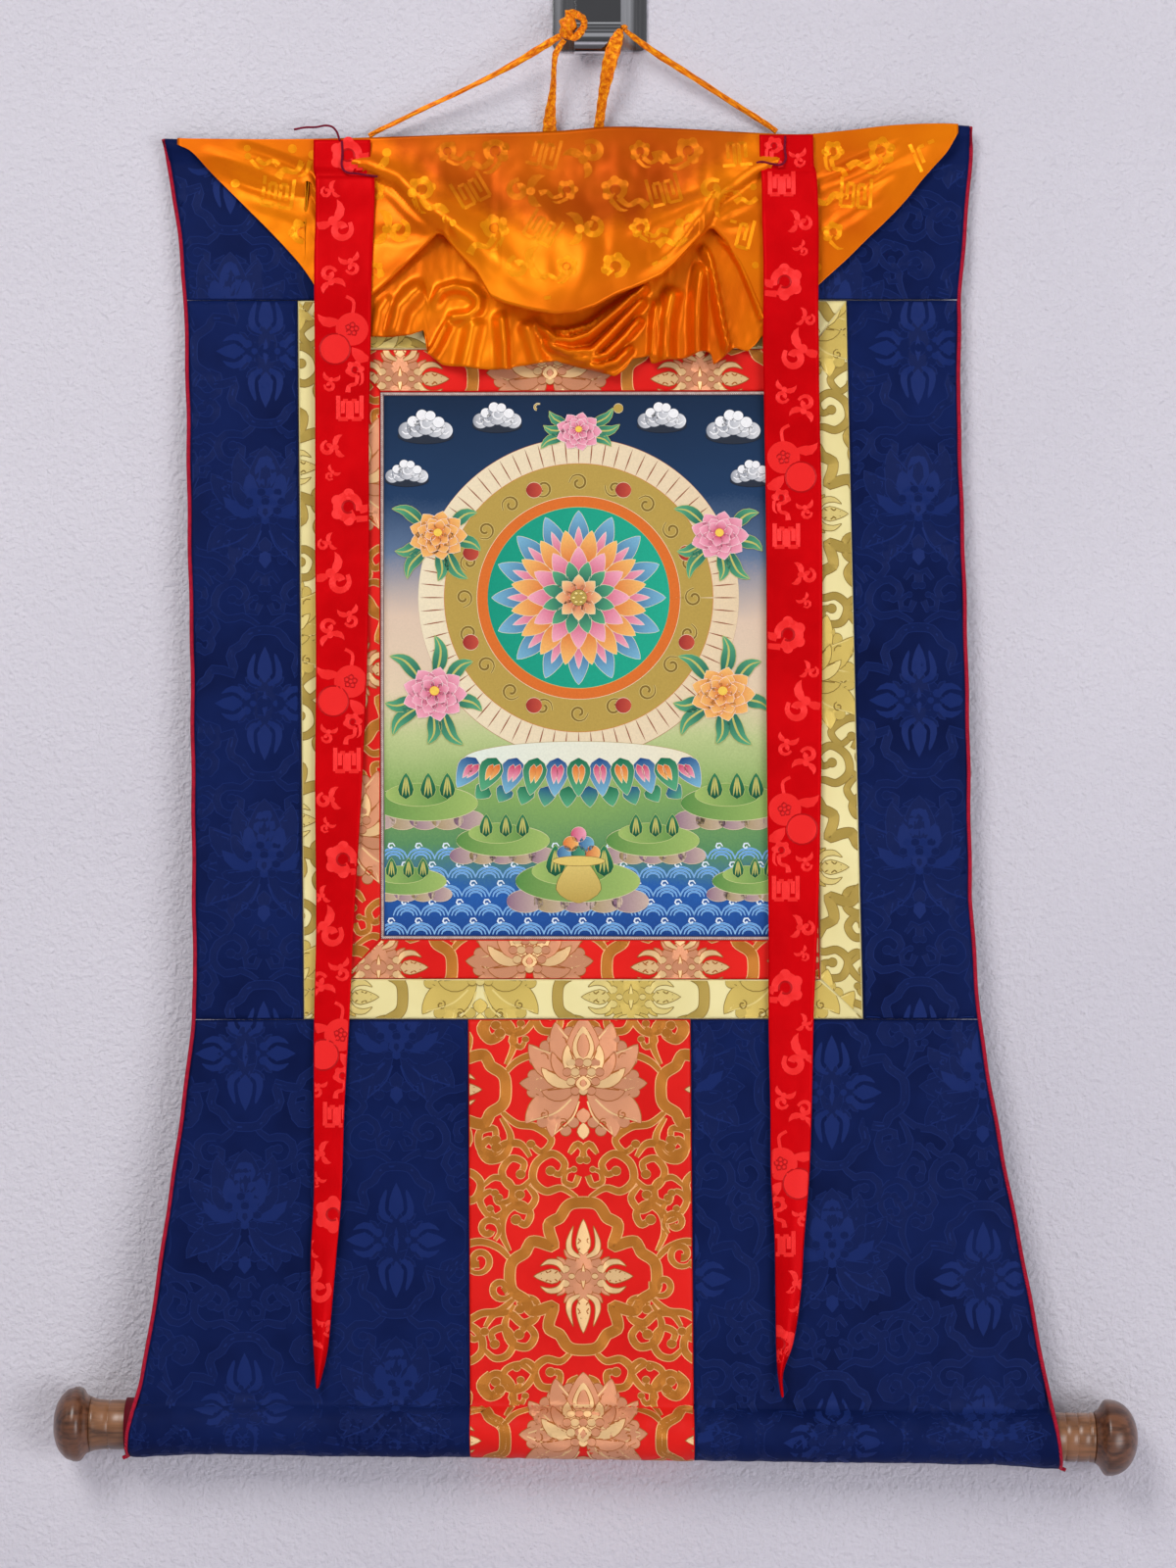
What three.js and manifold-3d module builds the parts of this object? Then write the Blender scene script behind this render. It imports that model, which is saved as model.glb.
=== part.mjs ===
// A hung scroll painting on its wall hook: a painted canvas in two brocade frames, navy damask mount panels with a brocade door panel,
// a gathered satin veil, two hanging ribbons, red edge piping, a turned wooden roller and the silk tapes that tie it to the hook.
// Millimetres, +Z up, the front faces -Y. The origin is the middle of the wall plate's back face, and the wall is the plane Y = 0.
import * as THREE from "three";
import Module from "manifold-3d";

const wasm = await Module();
wasm.setup();

// driving sizes
const CLOTH = 1.2; // thickness of every cloth
const GAP = 0.3; // between pieces that are sewn edge to edge
const PLATE = { width: 61, height: 60, depth: 2, corner: 5 };
const STRIP = { left: -16.3, right: 13.5, thick: 1.5 };
const ROD = { radius: 15.7, depth: -24.8, left: -325.2, right: 315.8, zLeft: -913.1, zRight: -921.6 };
const POCKET = { inner: 16.3, flare: 2.2, flareLength: 45 };
const HEM = { height: 10, back: -3.6, front: -11.6 }; // the stiff top edge, rolled round a flat stick
const PIPING = 1.4; // radius of the edge piping
const ROUND = 24; // sides of the rod, its pocket and its knobs

const lerp = (a, b, t) => a + (b - a) * t;
const clamp01 = (t) => Math.min(1, Math.max(0, t));
const smooth = (t) => clamp01(t) ** 2 * (3 - 2 * clamp01(t));
const bump = (t) => (Math.abs(t) < 1 ? Math.cos((t * Math.PI) / 2) ** 2 : 0);

// Reads a table of rows that rise or fall in their first column, at the value v, for the column c.
function at(table, v, c = 1) {
  const up = table[table.length - 1][0] > table[0][0];
  for (let i = 1; i < table.length; i++) {
    const [a, b] = [table[i - 1], table[i]];
    if (up ? v <= b[0] : v >= b[0]) return lerp(a[c], b[c], clamp01((v - a[0]) / (b[0] - a[0])));
  }
  return table[table.length - 1][c];
}

// outline of the cloth: columns z, x of the left edge, x of the right edge (middles of the piping)
const OUTLINE = [
  [-83, -282, 239.1],
  [-99.4, -279.1, 239.4],
  [-118.5, -275.3, 237.8],
  [-147, -270.8, 235.2],
  [-191.4, -266.8, 231.6],
  [-264.1, -264.7, 231],
  [-321, -263.9, 232.8],
  [-406.1, -261.7, 235],
  [-491.1, -260.7, 236.6],
  [-575.9, -259.5, 237.6],
  [-632.3, -258.8, 241.2],
  [-654.8, -259.7, 243],
  [-688.6, -263.3, 247.9],
  [-744.9, -270.7, 258.1],
  [-801, -278.6, 269.2],
  [-857.1, -286.9, 279.6],
  [-885.5, -292.3, 284.8],
  [-901.5, -296.7, 288.2],
  [-914.1, -299.5, 290.1],
  [-926.6, -300.8, 292],
  [-942.3, -301.4, 294.2],
];
// top edge: columns x, z
const TOP = [
  [-282.3, -87.4],
  [-260.2, -88.3],
  [-197, -88.6],
  [-133.9, -87.1],
  [-70.7, -84.8],
  [-26.5, -83.3],
  [7.6, -80.6],
  [49.3, -81.8],
  [93.5, -84.2],
  [128.9, -85.5],
  [156.7, -83.3],
  [188.2, -79.7],
  [219.7, -78.5],
  [240, -79.4],
];
const SEAM_MID = [
  [-299.6, 12],
  [-221.1, 7],
  [-7.5, 5.2],
  [293.9, 4],
]; // columns x, how far in front of the rod's middle the panel meets its pocket

const rodZ = (x) => lerp(ROD.zLeft, ROD.zRight, (x - ROD.left) / (ROD.right - ROD.left));
const leftEdge = (z) => at(OUTLINE, z, 1);
const rightEdge = (z) => at(OUTLINE, z, 2);
const topEdge = (x) => at(TOP, x);
function pocketRadius(x) {
  const ends = Math.min(x - leftEdge(rodZ(x)), rightEdge(rodZ(x)) - x);
  return POCKET.inner + POCKET.flare * smooth(1 - ends / POCKET.flareLength);
}
const seamZ = (x) => rodZ(x) + Math.sqrt((pocketRadius(x) + CLOTH / 2) ** 2 - at(SEAM_MID, x) ** 2);

// The back face of the hung cloth: it leans out from the stiff top edge to the roller and ripples a little between them.
function clothBack(x, z) {
  const s = clamp01((topEdge(x) - z) / (topEdge(x) - seamZ(x)));
  const free = Math.min(1, s * 8) * Math.min(1, (1 - s) * 6);
  const outer = smooth((Math.abs(x + 12) - 150) / 110);
  const low = smooth((s - 0.62) / 0.3);
  const ripple =
    0.5 * Math.sin(x / 23 + z / 190) +
    outer * (0.9 * Math.sin(z / 37 + x / 60) + 0.6 * Math.sin(z / 17 + 1.4)) +
    outer * low * 1.6 * Math.sin(x / 16 - z / 90);
  return lerp(-5, ROD.depth - at(SEAM_MID, x) + CLOTH / 2, s) + free * ripple;
}
const clothFront = (x, z) => clothBack(x, z) - CLOTH;

// Closes a list of equal rings with a fan at each end.
function loft(rings) {
  const n = rings[0].length,
    v = [],
    f = [];
  rings.forEach((r) => r.forEach((p) => v.push(p.x, p.y, p.z)));
  for (let i = 0; i + 1 < rings.length; i++)
    for (let j = 0; j < n; j++) {
      const [a, b, c, d] = [i * n + j, i * n + ((j + 1) % n), (i + 1) * n + ((j + 1) % n), (i + 1) * n + j];
      f.push(a, b, c, a, c, d);
    }
  for (const [i, turn] of [
    [0, true],
    [rings.length - 1, false],
  ]) {
    const mid = rings[i].reduce((s, p) => s.add(p), new THREE.Vector3()).divideScalar(n),
      m = v.length / 3;
    v.push(mid.x, mid.y, mid.z);
    for (let j = 0; j < n; j++) {
      const [a, b] = [i * n + j, i * n + ((j + 1) % n)];
      turn ? f.push(m, b, a) : f.push(m, a, b);
    }
  }
  return closed(v, f);
}

// A sheet from the points of its front and back faces, both as columns of rows.
function sheet(front, back) {
  const m = front.length,
    n = front[0].length,
    v = [],
    f = [],
    F = (i, j) => i * n + j,
    B = (i, j) => m * n + i * n + j;
  for (const face of [front, back]) face.forEach((c) => c.forEach((p) => v.push(...p)));
  const quad = (a, b, c, d) => f.push(a, b, c, a, c, d);
  for (let i = 0; i + 1 < m; i++)
    for (let j = 0; j + 1 < n; j++) {
      quad(F(i, j), F(i, j + 1), F(i + 1, j + 1), F(i + 1, j));
      quad(B(i, j), B(i + 1, j), B(i + 1, j + 1), B(i, j + 1));
    }
  for (let i = 0; i + 1 < m; i++) {
    quad(F(i, 0), F(i + 1, 0), B(i + 1, 0), B(i, 0));
    quad(F(i, n - 1), B(i, n - 1), B(i + 1, n - 1), F(i + 1, n - 1));
  }
  for (let j = 0; j + 1 < n; j++) {
    quad(F(0, j), B(0, j), B(0, j + 1), F(0, j + 1));
    quad(F(m - 1, j), F(m - 1, j + 1), B(m - 1, j + 1), B(m - 1, j));
  }
  return closed(v, f);
}

// Indexed geometry with its faces turned outwards.
function closed(v, f) {
  let volume = 0;
  const p = (i) => new THREE.Vector3(v[3 * i], v[3 * i + 1], v[3 * i + 2]);
  for (let i = 0; i < f.length; i += 3) volume += p(f[i]).dot(p(f[i + 1]).cross(p(f[i + 2])));
  if (volume < 0) for (let i = 0; i < f.length; i += 3) [f[i + 1], f[i + 2]] = [f[i + 2], f[i + 1]];
  return new THREE.BufferGeometry().setAttribute("position", new THREE.Float32BufferAttribute(v, 3)).setIndex(f);
}

// Joins two solids that pass into each other.
function join(a, b) {
  const solid = (g) =>
    new wasm.Manifold(
      new wasm.Mesh({
        numProp: 3,
        vertProperties: new Float32Array(g.attributes.position.array),
        triVerts: new Uint32Array(g.index.array),
      }),
    );
  const made = solid(a).add(solid(b)).getMesh(),
    v = [];
  for (let i = 0; i < made.numVert; i++) v.push(...made.vertProperties.subarray(i * made.numProp, i * made.numProp + 3));
  return closed(v, [...made.triVerts]);
}

const MATERIAL = {
  navy: [0x16245a, 0.75],
  gold: [0xc9bd86, 0.6],
  red: [0xb81a1c, 0.55],
  ivory: [0xd9c8bd, 0.8],
  canvas: [0x5a6f9a, 0.9],
  satin: [0xee8a10, 0.4],
  crimson: [0xc00c18, 0.45],
  maroon: [0x5c0a22, 0.8],
  wood: [0x7c5a40, 0.5],
  steel: [0x9a9a9a, 0.25],
};
const group = new THREE.Group();
function add(name, geometry, kind) {
  const [color, roughness] = MATERIAL[kind];
  const mesh = new THREE.Mesh(
    geometry,
    new THREE.MeshStandardMaterial({ color, roughness, metalness: kind === "steel" ? 1 : 0 }),
  );
  mesh.name = name;
  group.add(mesh);
}

// A panel of the hung cloth between four edges, each a function of 0..1 that gives [x, z]; top and bottom run left to right,
// left and right run downwards. depth is how far its front stands before the cloth's common face.
function panel(top, bottom, left, right, across, down, thick = () => CLOTH, raise = 0) {
  const front = [],
    back = [];
  for (let i = 0; i <= across; i++) {
    const u = i / across,
      fc = [],
      bc = [];
    for (let j = 0; j <= down; j++) {
      const w = j / down,
        [T, B, L, R] = [top(u), bottom(u), left(w), right(w)],
        [A, C, D, E] = [top(0), top(1), bottom(0), bottom(1)];
      const q = [0, 1].map(
        (k) =>
          lerp(T[k], B[k], w) +
          lerp(L[k], R[k], u) -
          lerp(lerp(A[k], C[k], u), lerp(D[k], E[k], u), w),
      );
      const y = clothBack(...q) - raise;
      fc.push([q[0], y - thick(...q), q[1]]);
      bc.push([q[0], y, q[1]]);
    }
    front.push(fc);
    back.push(bc);
  }
  return [front, back];
}
const line = (a, b) => (t) => [lerp(a[0], b[0], t), lerp(a[1], b[1], t)];

// --- wall hook: a square steel plate and a wide strip bent up into a lip at its foot
{
  const { width: w, height: h, depth, corner: r } = PLATE;
  const s = new THREE.Shape();
  s.moveTo(-w / 2 + r, -h / 2).lineTo(w / 2 - r, -h / 2).quadraticCurveTo(w / 2, -h / 2, w / 2, -h / 2 + r);
  s.lineTo(w / 2, h / 2 - r).quadraticCurveTo(w / 2, h / 2, w / 2 - r, h / 2).lineTo(-w / 2 + r, h / 2);
  s.quadraticCurveTo(-w / 2, h / 2, -w / 2, h / 2 - r).lineTo(-w / 2, -h / 2 + r).quadraticCurveTo(-w / 2, -h / 2, -w / 2 + r, -h / 2);
  const g = new THREE.ExtrudeGeometry(s, { depth, bevelEnabled: false, curveSegments: 5 });
  add("wall_plate", g.rotateX(Math.PI / 2), "steel");

  // middle line of the strip in its Y-Z section, from its top down the plate, round the foot and up the lip
  const mid = [
    [-3.1, 24],
    [-3.1, 2],
    [-3.1, -18],
    [-3.6, -23.5],
    [-5.2, -28.5],
    [-8.2, -31.9],
    [-12, -32.8],
    [-15.6, -30.8],
    [-17.8, -26.8],
    [-18.6, -21.4],
    [-18.9, -15.2],
  ];
  const side = (k) =>
    mid.map((p, i) => {
      const a = mid[Math.max(0, i - 1)],
        b = mid[Math.min(mid.length - 1, i + 1)],
        d = new THREE.Vector2(b[0] - a[0], b[1] - a[1]).normalize();
      return [p[0] - d.y * k * (STRIP.thick / 2), p[1] + d.x * k * (STRIP.thick / 2)];
    });
  const faces = [1, -1].map((k) => [STRIP.left, STRIP.right].map((x) => side(k).map(([y, z]) => [x, y, z])));
  add("hook_strip", sheet(...faces), "steel");
}

// --- navy mount: the top panel with its rolled hem, two side panels, and two lower panels that end in the rod pocket
{
  const hemThick = (x, z) => {
    const k = Math.sqrt(clamp01(1 - ((topEdge(x) - z - HEM.height / 2) / (HEM.height / 2)) ** 2));
    return CLOTH + k * (clothFront(x, z) - HEM.front);
  };
  const inset = PIPING + 2 * GAP;
  const down = (edge, a, b) => (t) => {
    const z = lerp(a, b, t);
    return [edge(z), z];
  };
  const zl = topEdge(-279.5) - 0.2,
    zr = topEdge(237.4) - 0.2,
    il = (z) => leftEdge(z) + inset,
    ir = (z) => rightEdge(z) - inset;
  // rows crowd into the rolled hem
  const rows = (t, total) => (t < 0.4 ? (HEM.height * t) / 0.4 : lerp(HEM.height, total, (t - 0.4) / 0.6));
  const hemDown = (edge, top, bottom) => (t) => {
    const z = top - rows(t, top - bottom);
    return [edge(z), z];
  };
  {
    const [front, back] = panel(
      (t) => [lerp(il(zl), ir(zr), t), topEdge(lerp(il(zl), ir(zr), t))],
      (t) => {
        const x = lerp(il(-191.4), ir(-188.2), t);
        return [x, x < 0 ? -192 : -191.4];
      },
      hemDown(il, zl, -192),
      hemDown(ir, zr, -191.4),
      18,
      10,
    );
    // the rolled edge: the front swells forward and the back falls back round the stick
    front.forEach((c, i) =>
      c.forEach((p, j) => {
        const [x, , z] = p;
        const k = Math.sqrt(clamp01(1 - ((topEdge(x) - z - HEM.height / 2) / (HEM.height / 2)) ** 2));
        p[1] = Math.min(p[1], lerp(p[1], HEM.front, k));
        back[i][j][1] = lerp(back[i][j][1], HEM.back, k);
      }),
    );
    add("top_panel", sheet(front, back), "navy");
  }

  const FRAME_SEAM = [
    [-193.3, -194.6, 159],
    [-377.8, -192.6, 162.4],
    [-654.8, -189.4, 168.7],
  ]; // columns z, x of the left seam, x of the right seam
  const frameL = (z) => at(FRAME_SEAM, z, 1) - GAP,
    frameR = (z) => at(FRAME_SEAM, z, 2) + GAP;
  const sideTop = -192 - GAP,
    sideFoot = -654.2;
  add(
    "side_panel_left",
    sheet(...panel(line([il(sideTop), sideTop], [frameL(sideTop), sideTop]), line([il(sideFoot), sideFoot], [frameL(sideFoot), sideFoot]), down(il, sideTop, sideFoot), down(frameL, sideTop, sideFoot), 4, 18)),
    "navy",
  );
  add(
    "side_panel_right",
    sheet(...panel(line([frameR(sideTop), sideTop], [ir(sideTop), sideTop]), line([frameR(sideFoot), sideFoot], [ir(sideFoot), sideFoot]), down(frameR, sideTop, sideFoot), down(ir, sideTop, sideFoot), 4, 18)),
    "navy",
  );

  // a lower piece from its seam to the rod pocket, and the pocket itself, which wraps the rod
  const lower = (x0, x1, across, rowsDown) => {
    const top = sideFoot - GAP,
      a = x0(top),
      b = x1(top);
    const run = (edge) => (t) => {
      const zEnd = seamZ(edge(-900.9));
      const z = lerp(top, zEnd, t);
      return [edge(z), z];
    };
    const foot = (t) => {
      const [p, q] = [run(x0)(1), run(x1)(1)],
        x = lerp(p[0], q[0], t);
      return [x, seamZ(x)];
    };
    const body = sheet(...panel(line([a, top], [b, top]), foot, run(x0), run(x1), across, rowsDown));
    const ring = (x, radius) => {
      const out = [];
      for (let j = 0; j < ROUND; j++) {
        const t = (j / ROUND) * 2 * Math.PI,
          h = radius(x) * Math.cos(t);
        out.push(new THREE.Vector3(0, ROD.depth - radius(x) * Math.sin(t), h));
      }
      return out;
    };
    const stations = across + 1;
    const grid = (radius) => {
      const cols = [];
      for (let i = 0; i <= stations; i++) {
        const s = i / stations,
          guess = lerp(x0(rodZ(a)), x1(rodZ(b)), s);
        cols.push(
          ring(guess, radius).map((p) => {
            const z = rodZ(guess) + p.z,
              x = lerp(x0(z), x1(z), s);
            return [x, p.y, rodZ(x) + p.z];
          }),
        );
      }
      return cols;
    };
    const [outer, inner] = [grid((x) => pocketRadius(x) + CLOTH), grid(pocketRadius)];
    const v = [],
      f = [],
      n = ROUND,
      m = outer.length,
      O = (i, j) => i * n + (j % n),
      I = (i, j) => m * n + i * n + (j % n),
      quad = (p, q, r, s) => f.push(p, q, r, p, r, s);
    for (const face of [outer, inner]) face.forEach((c) => c.forEach((p) => v.push(...p)));
    for (let i = 0; i + 1 < m; i++)
      for (let j = 0; j < n; j++) {
        quad(O(i, j), O(i, j + 1), O(i + 1, j + 1), O(i + 1, j));
        quad(I(i, j), I(i + 1, j), I(i + 1, j + 1), I(i, j + 1));
      }
    for (let j = 0; j < n; j++) {
      quad(O(0, j), I(0, j), I(0, j + 1), O(0, j + 1));
      quad(O(m - 1, j), O(m - 1, j + 1), I(m - 1, j + 1), I(m - 1, j));
    }
    return join(body, closed(v, f));
  };
  const doorL = (z) => at([[-654.2, -84.1], [-936, -82.5]], z),
    doorR = (z) => at([[-654.2, 58], [-936, 60.2]], z);
  add("lower_panel_left", lower(il, (z) => doorL(z) - GAP, 7, 9), "navy");
  add("door_panel", lower(doorL, doorR, 4, 9), "red");
  add("lower_panel_right", lower((z) => doorR(z) + GAP, ir, 7, 9), "navy");

  // --- brocade frames: four mitred strips each, the pale gold one outside the red one, then the ivory piping round the canvas
  const outerTop = sideTop,
    outerFoot = sideFoot,
    goldOut = {
      tl: [frameL(outerTop) + GAP, outerTop],
      tr: [frameR(outerTop) - GAP, outerTop],
      br: [frameR(outerFoot) - GAP, outerFoot],
      bl: [frameL(outerFoot) + GAP, outerFoot],
    },
    goldIn = { tl: [-166.1, -224], tr: [135, -223.3], br: [141.3, -629.1], bl: [-164.2, -628.5] },
    redIn = { tl: [-141.2, -251.5], tr: [110.3, -250.9], br: [114.1, -603.8], bl: [-140.2, -603.1] },
    canvas = { tl: [-139.1, -253.6], tr: [108.3, -253], br: [112, -601.7], bl: [-138.2, -601.1] };
  const shift = (p, dx, dz) => [p[0] + dx, p[1] + dz];
  function frame(name, outer, inner, kind, thick, raise, long, wide) {
    const g = GAP / 2,
      o = {
        tl: shift(outer.tl, GAP, -GAP),
        tr: shift(outer.tr, -GAP, -GAP),
        br: shift(outer.br, -GAP, GAP),
        bl: shift(outer.bl, GAP, GAP),
      };
    const strips = {
      top: [shift(o.tl, g, 0), shift(o.tr, -g, 0), shift(inner.tl, g, 0), shift(inner.tr, -g, 0), "x"],
      bottom: [shift(inner.bl, g, 0), shift(inner.br, -g, 0), shift(o.bl, g, 0), shift(o.br, -g, 0), "x"],
      left: [shift(o.tl, 0, -g), shift(inner.tl, 0, -g), shift(o.bl, 0, g), shift(inner.bl, 0, g), "z"],
      right: [shift(inner.tr, 0, -g), shift(o.tr, 0, -g), shift(inner.br, 0, g), shift(o.br, 0, g), "z"],
    };
    for (const [side, [tl, tr, bl, br, way]] of Object.entries(strips))
      add(
        `${name}_${side}`,
        sheet(...panel(line(tl, tr), line(bl, br), line(tl, bl), line(tr, br), way === "x" ? long : wide, way === "x" ? wide : long, () => thick, raise)),
        kind,
      );
  }
  frame("gold_frame", goldOut, goldIn, "gold", CLOTH, 0, 9, 1);
  frame("red_frame", goldIn, redIn, "red", CLOTH, 0, 9, 1);
  frame("canvas_edge", redIn, canvas, "ivory", CLOTH + 0.5, 0, 9, 1);
  const c = {
    tl: shift(canvas.tl, GAP, -GAP),
    tr: shift(canvas.tr, -GAP, -GAP),
    br: shift(canvas.br, -GAP, GAP),
    bl: shift(canvas.bl, GAP, GAP),
  };
  add("painting", sheet(...panel(line(c.tl, c.tr), line(c.bl, c.br), line(c.tl, c.bl), line(c.tr, c.br), 5, 9, () => CLOTH - 0.2)), "canvas");
}

// --- crimson piping down both edges: it follows the cloth, then bends round the mouth of the rod pocket
function tube(points, radius, sides) {
  const pts = points.map((p) => new THREE.Vector3(...p));
  let across = new THREE.Vector3(0.31, 0.87, 0.38);
  return loft(
    pts.map((p, i) => {
      const run = pts[Math.min(pts.length - 1, i + 1)].clone().sub(pts[Math.max(0, i - 1)]).normalize();
      across = across.addScaledVector(run, -across.dot(run)).normalize();
      const other = run.clone().cross(across);
      return Array.from({ length: sides }, (_, j) => {
        const t = (j / sides) * 2 * Math.PI;
        return p.clone().addScaledVector(across, radius * Math.cos(t)).addScaledVector(other, radius * Math.sin(t));
      });
    }),
  );
}
const eased = (points, steps) =>
  new THREE.CatmullRomCurve3(points.map((p) => new THREE.Vector3(...p)), false, "centripetal").getPoints(steps).map((p) => p.toArray());
for (const [name, edge, side] of [
  ["piping_left", leftEdge, -1],
  ["piping_right", rightEdge, 1],
]) {
  const points = [];
  const start = topEdge(edge(-87.4)) - 1;
  points.push([edge(start), -8.4, start]);
  for (const z of [-93.1, -109, -128, -156.5, -191.4, -251.5, -314.7, -377.8, -440.8, -503.7, -566.5, -616.6, -654.8, -691.7, -741.7, -791.7, -841.6, -875.8, -890.7])
    points.push([edge(z), lerp(clothBack(edge(z), z), clothFront(edge(z), z), 0.5), z]);
  const reach = POCKET.inner + POCKET.flare + CLOTH / 2 + 0.2;
  for (const t of [0.88, 1.12, 1.38, 1.66, 1.94, 2.22, 2.5, 2.75, 2.95]) {
    const z = rodZ(edge(-917.2)) + reach * Math.cos(t);
    points.push([edge(z), ROD.depth - reach * Math.sin(t), z]);
  }
  // the loose end stands out below the pocket
  const last = points[points.length - 1];
  points.push([last[0] + side * 3.4, last[1] + 0.6, last[2] - 1.6]);
  add(name, tube(points, PIPING, 8), "crimson");
}

// --- lining that shows in the left mouth of the pocket
{
  const cols = (radius) =>
    [-302.6, -298.9, -290.1].map((x) =>
      Array.from({ length: ROUND }, (_, j) => {
        const t = (j / ROUND) * 2 * Math.PI;
        return [x, ROD.depth - radius * Math.sin(t), rodZ(x) + radius * Math.cos(t)];
      }),
    );
  const [outer, inner] = [cols(17.2), cols(16.1)],
    v = [],
    f = [],
    n = ROUND,
    O = (i, j) => i * n + (j % n),
    I = (i, j) => 3 * n + i * n + (j % n),
    quad = (a, b, c, d) => f.push(a, b, c, a, c, d);
  for (const face of [outer, inner]) face.forEach((c) => c.forEach((p) => v.push(...p)));
  for (let i = 0; i < 2; i++)
    for (let j = 0; j < n; j++) {
      quad(O(i, j), O(i, j + 1), O(i + 1, j + 1), O(i + 1, j));
      quad(I(i, j), I(i + 1, j), I(i + 1, j + 1), I(i, j + 1));
    }
  for (let j = 0; j < n; j++) {
    quad(O(0, j), I(0, j), I(0, j + 1), O(0, j + 1));
    quad(O(2, j), O(2, j + 1), I(2, j + 1), I(2, j));
  }
  add("pocket_lining", closed(v, f), "maroon");
}

// --- turned roller and its two knobs, which are not alike; profiles give distance along the axis from the left, and radius
function turned(profile) {
  const slope = (ROD.zRight - ROD.zLeft) / (ROD.right - ROD.left);
  return loft(
    profile.map(([x, r]) =>
      Array.from({ length: ROUND }, (_, j) => {
        const t = (j / ROUND) * 2 * Math.PI;
        return new THREE.Vector3(x + slope * r * Math.cos(t) * -1, ROD.depth - r * Math.sin(t), rodZ(x) + r * Math.cos(t));
      }),
    ),
  );
}
const groove = (x, r) => [
  [x - 0.7, r],
  [x, r - 0.45],
  [x + 0.7, r],
];
add(
  "rod",
  turned([
    [ROD.left + GAP, ROD.radius + 0.1],
    [-319.7, ROD.radius - 0.2],
    ...groove(-313.1, ROD.radius - 0.1),
    [-299.6, ROD.radius],
    [-7.5, ROD.radius],
    [291.4, ROD.radius - 0.1],
    ...groove(304.6, ROD.radius - 0.2),
    ...groove(312.1, ROD.radius - 0.1),
    [ROD.right - GAP, ROD.radius + 0.2],
  ]),
  "wood",
);
add(
  "knob_left",
  turned([
    [ROD.left, 16],
    [-328.8, 17.2],
    [-331.6, 19.2],
    [-333.9, 21.6],
    [-335.1, 23.3],
    [-336.1, 23.7],
    [-337.9, 23.2],
    [-341, 21.2],
    [-344.5, 17.6],
    [-347, 12.6],
    [-348.4, 6.5],
    [-348.7, 2],
  ]),
  "wood",
);
add(
  "knob_right",
  turned([
    [ROD.right, 16.2],
    [317.5, 16.9],
    [319.3, 18.4],
    [320.9, 21],
    [322.3, 23.2],
    [324.4, 24.1],
    [327.5, 24],
    [331.6, 22.8],
    [336, 20],
    [339.7, 15.6],
    [342.3, 10],
    [343.5, 4.5],
    [343.7, 1.5],
  ]),
  "wood",
);

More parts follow.
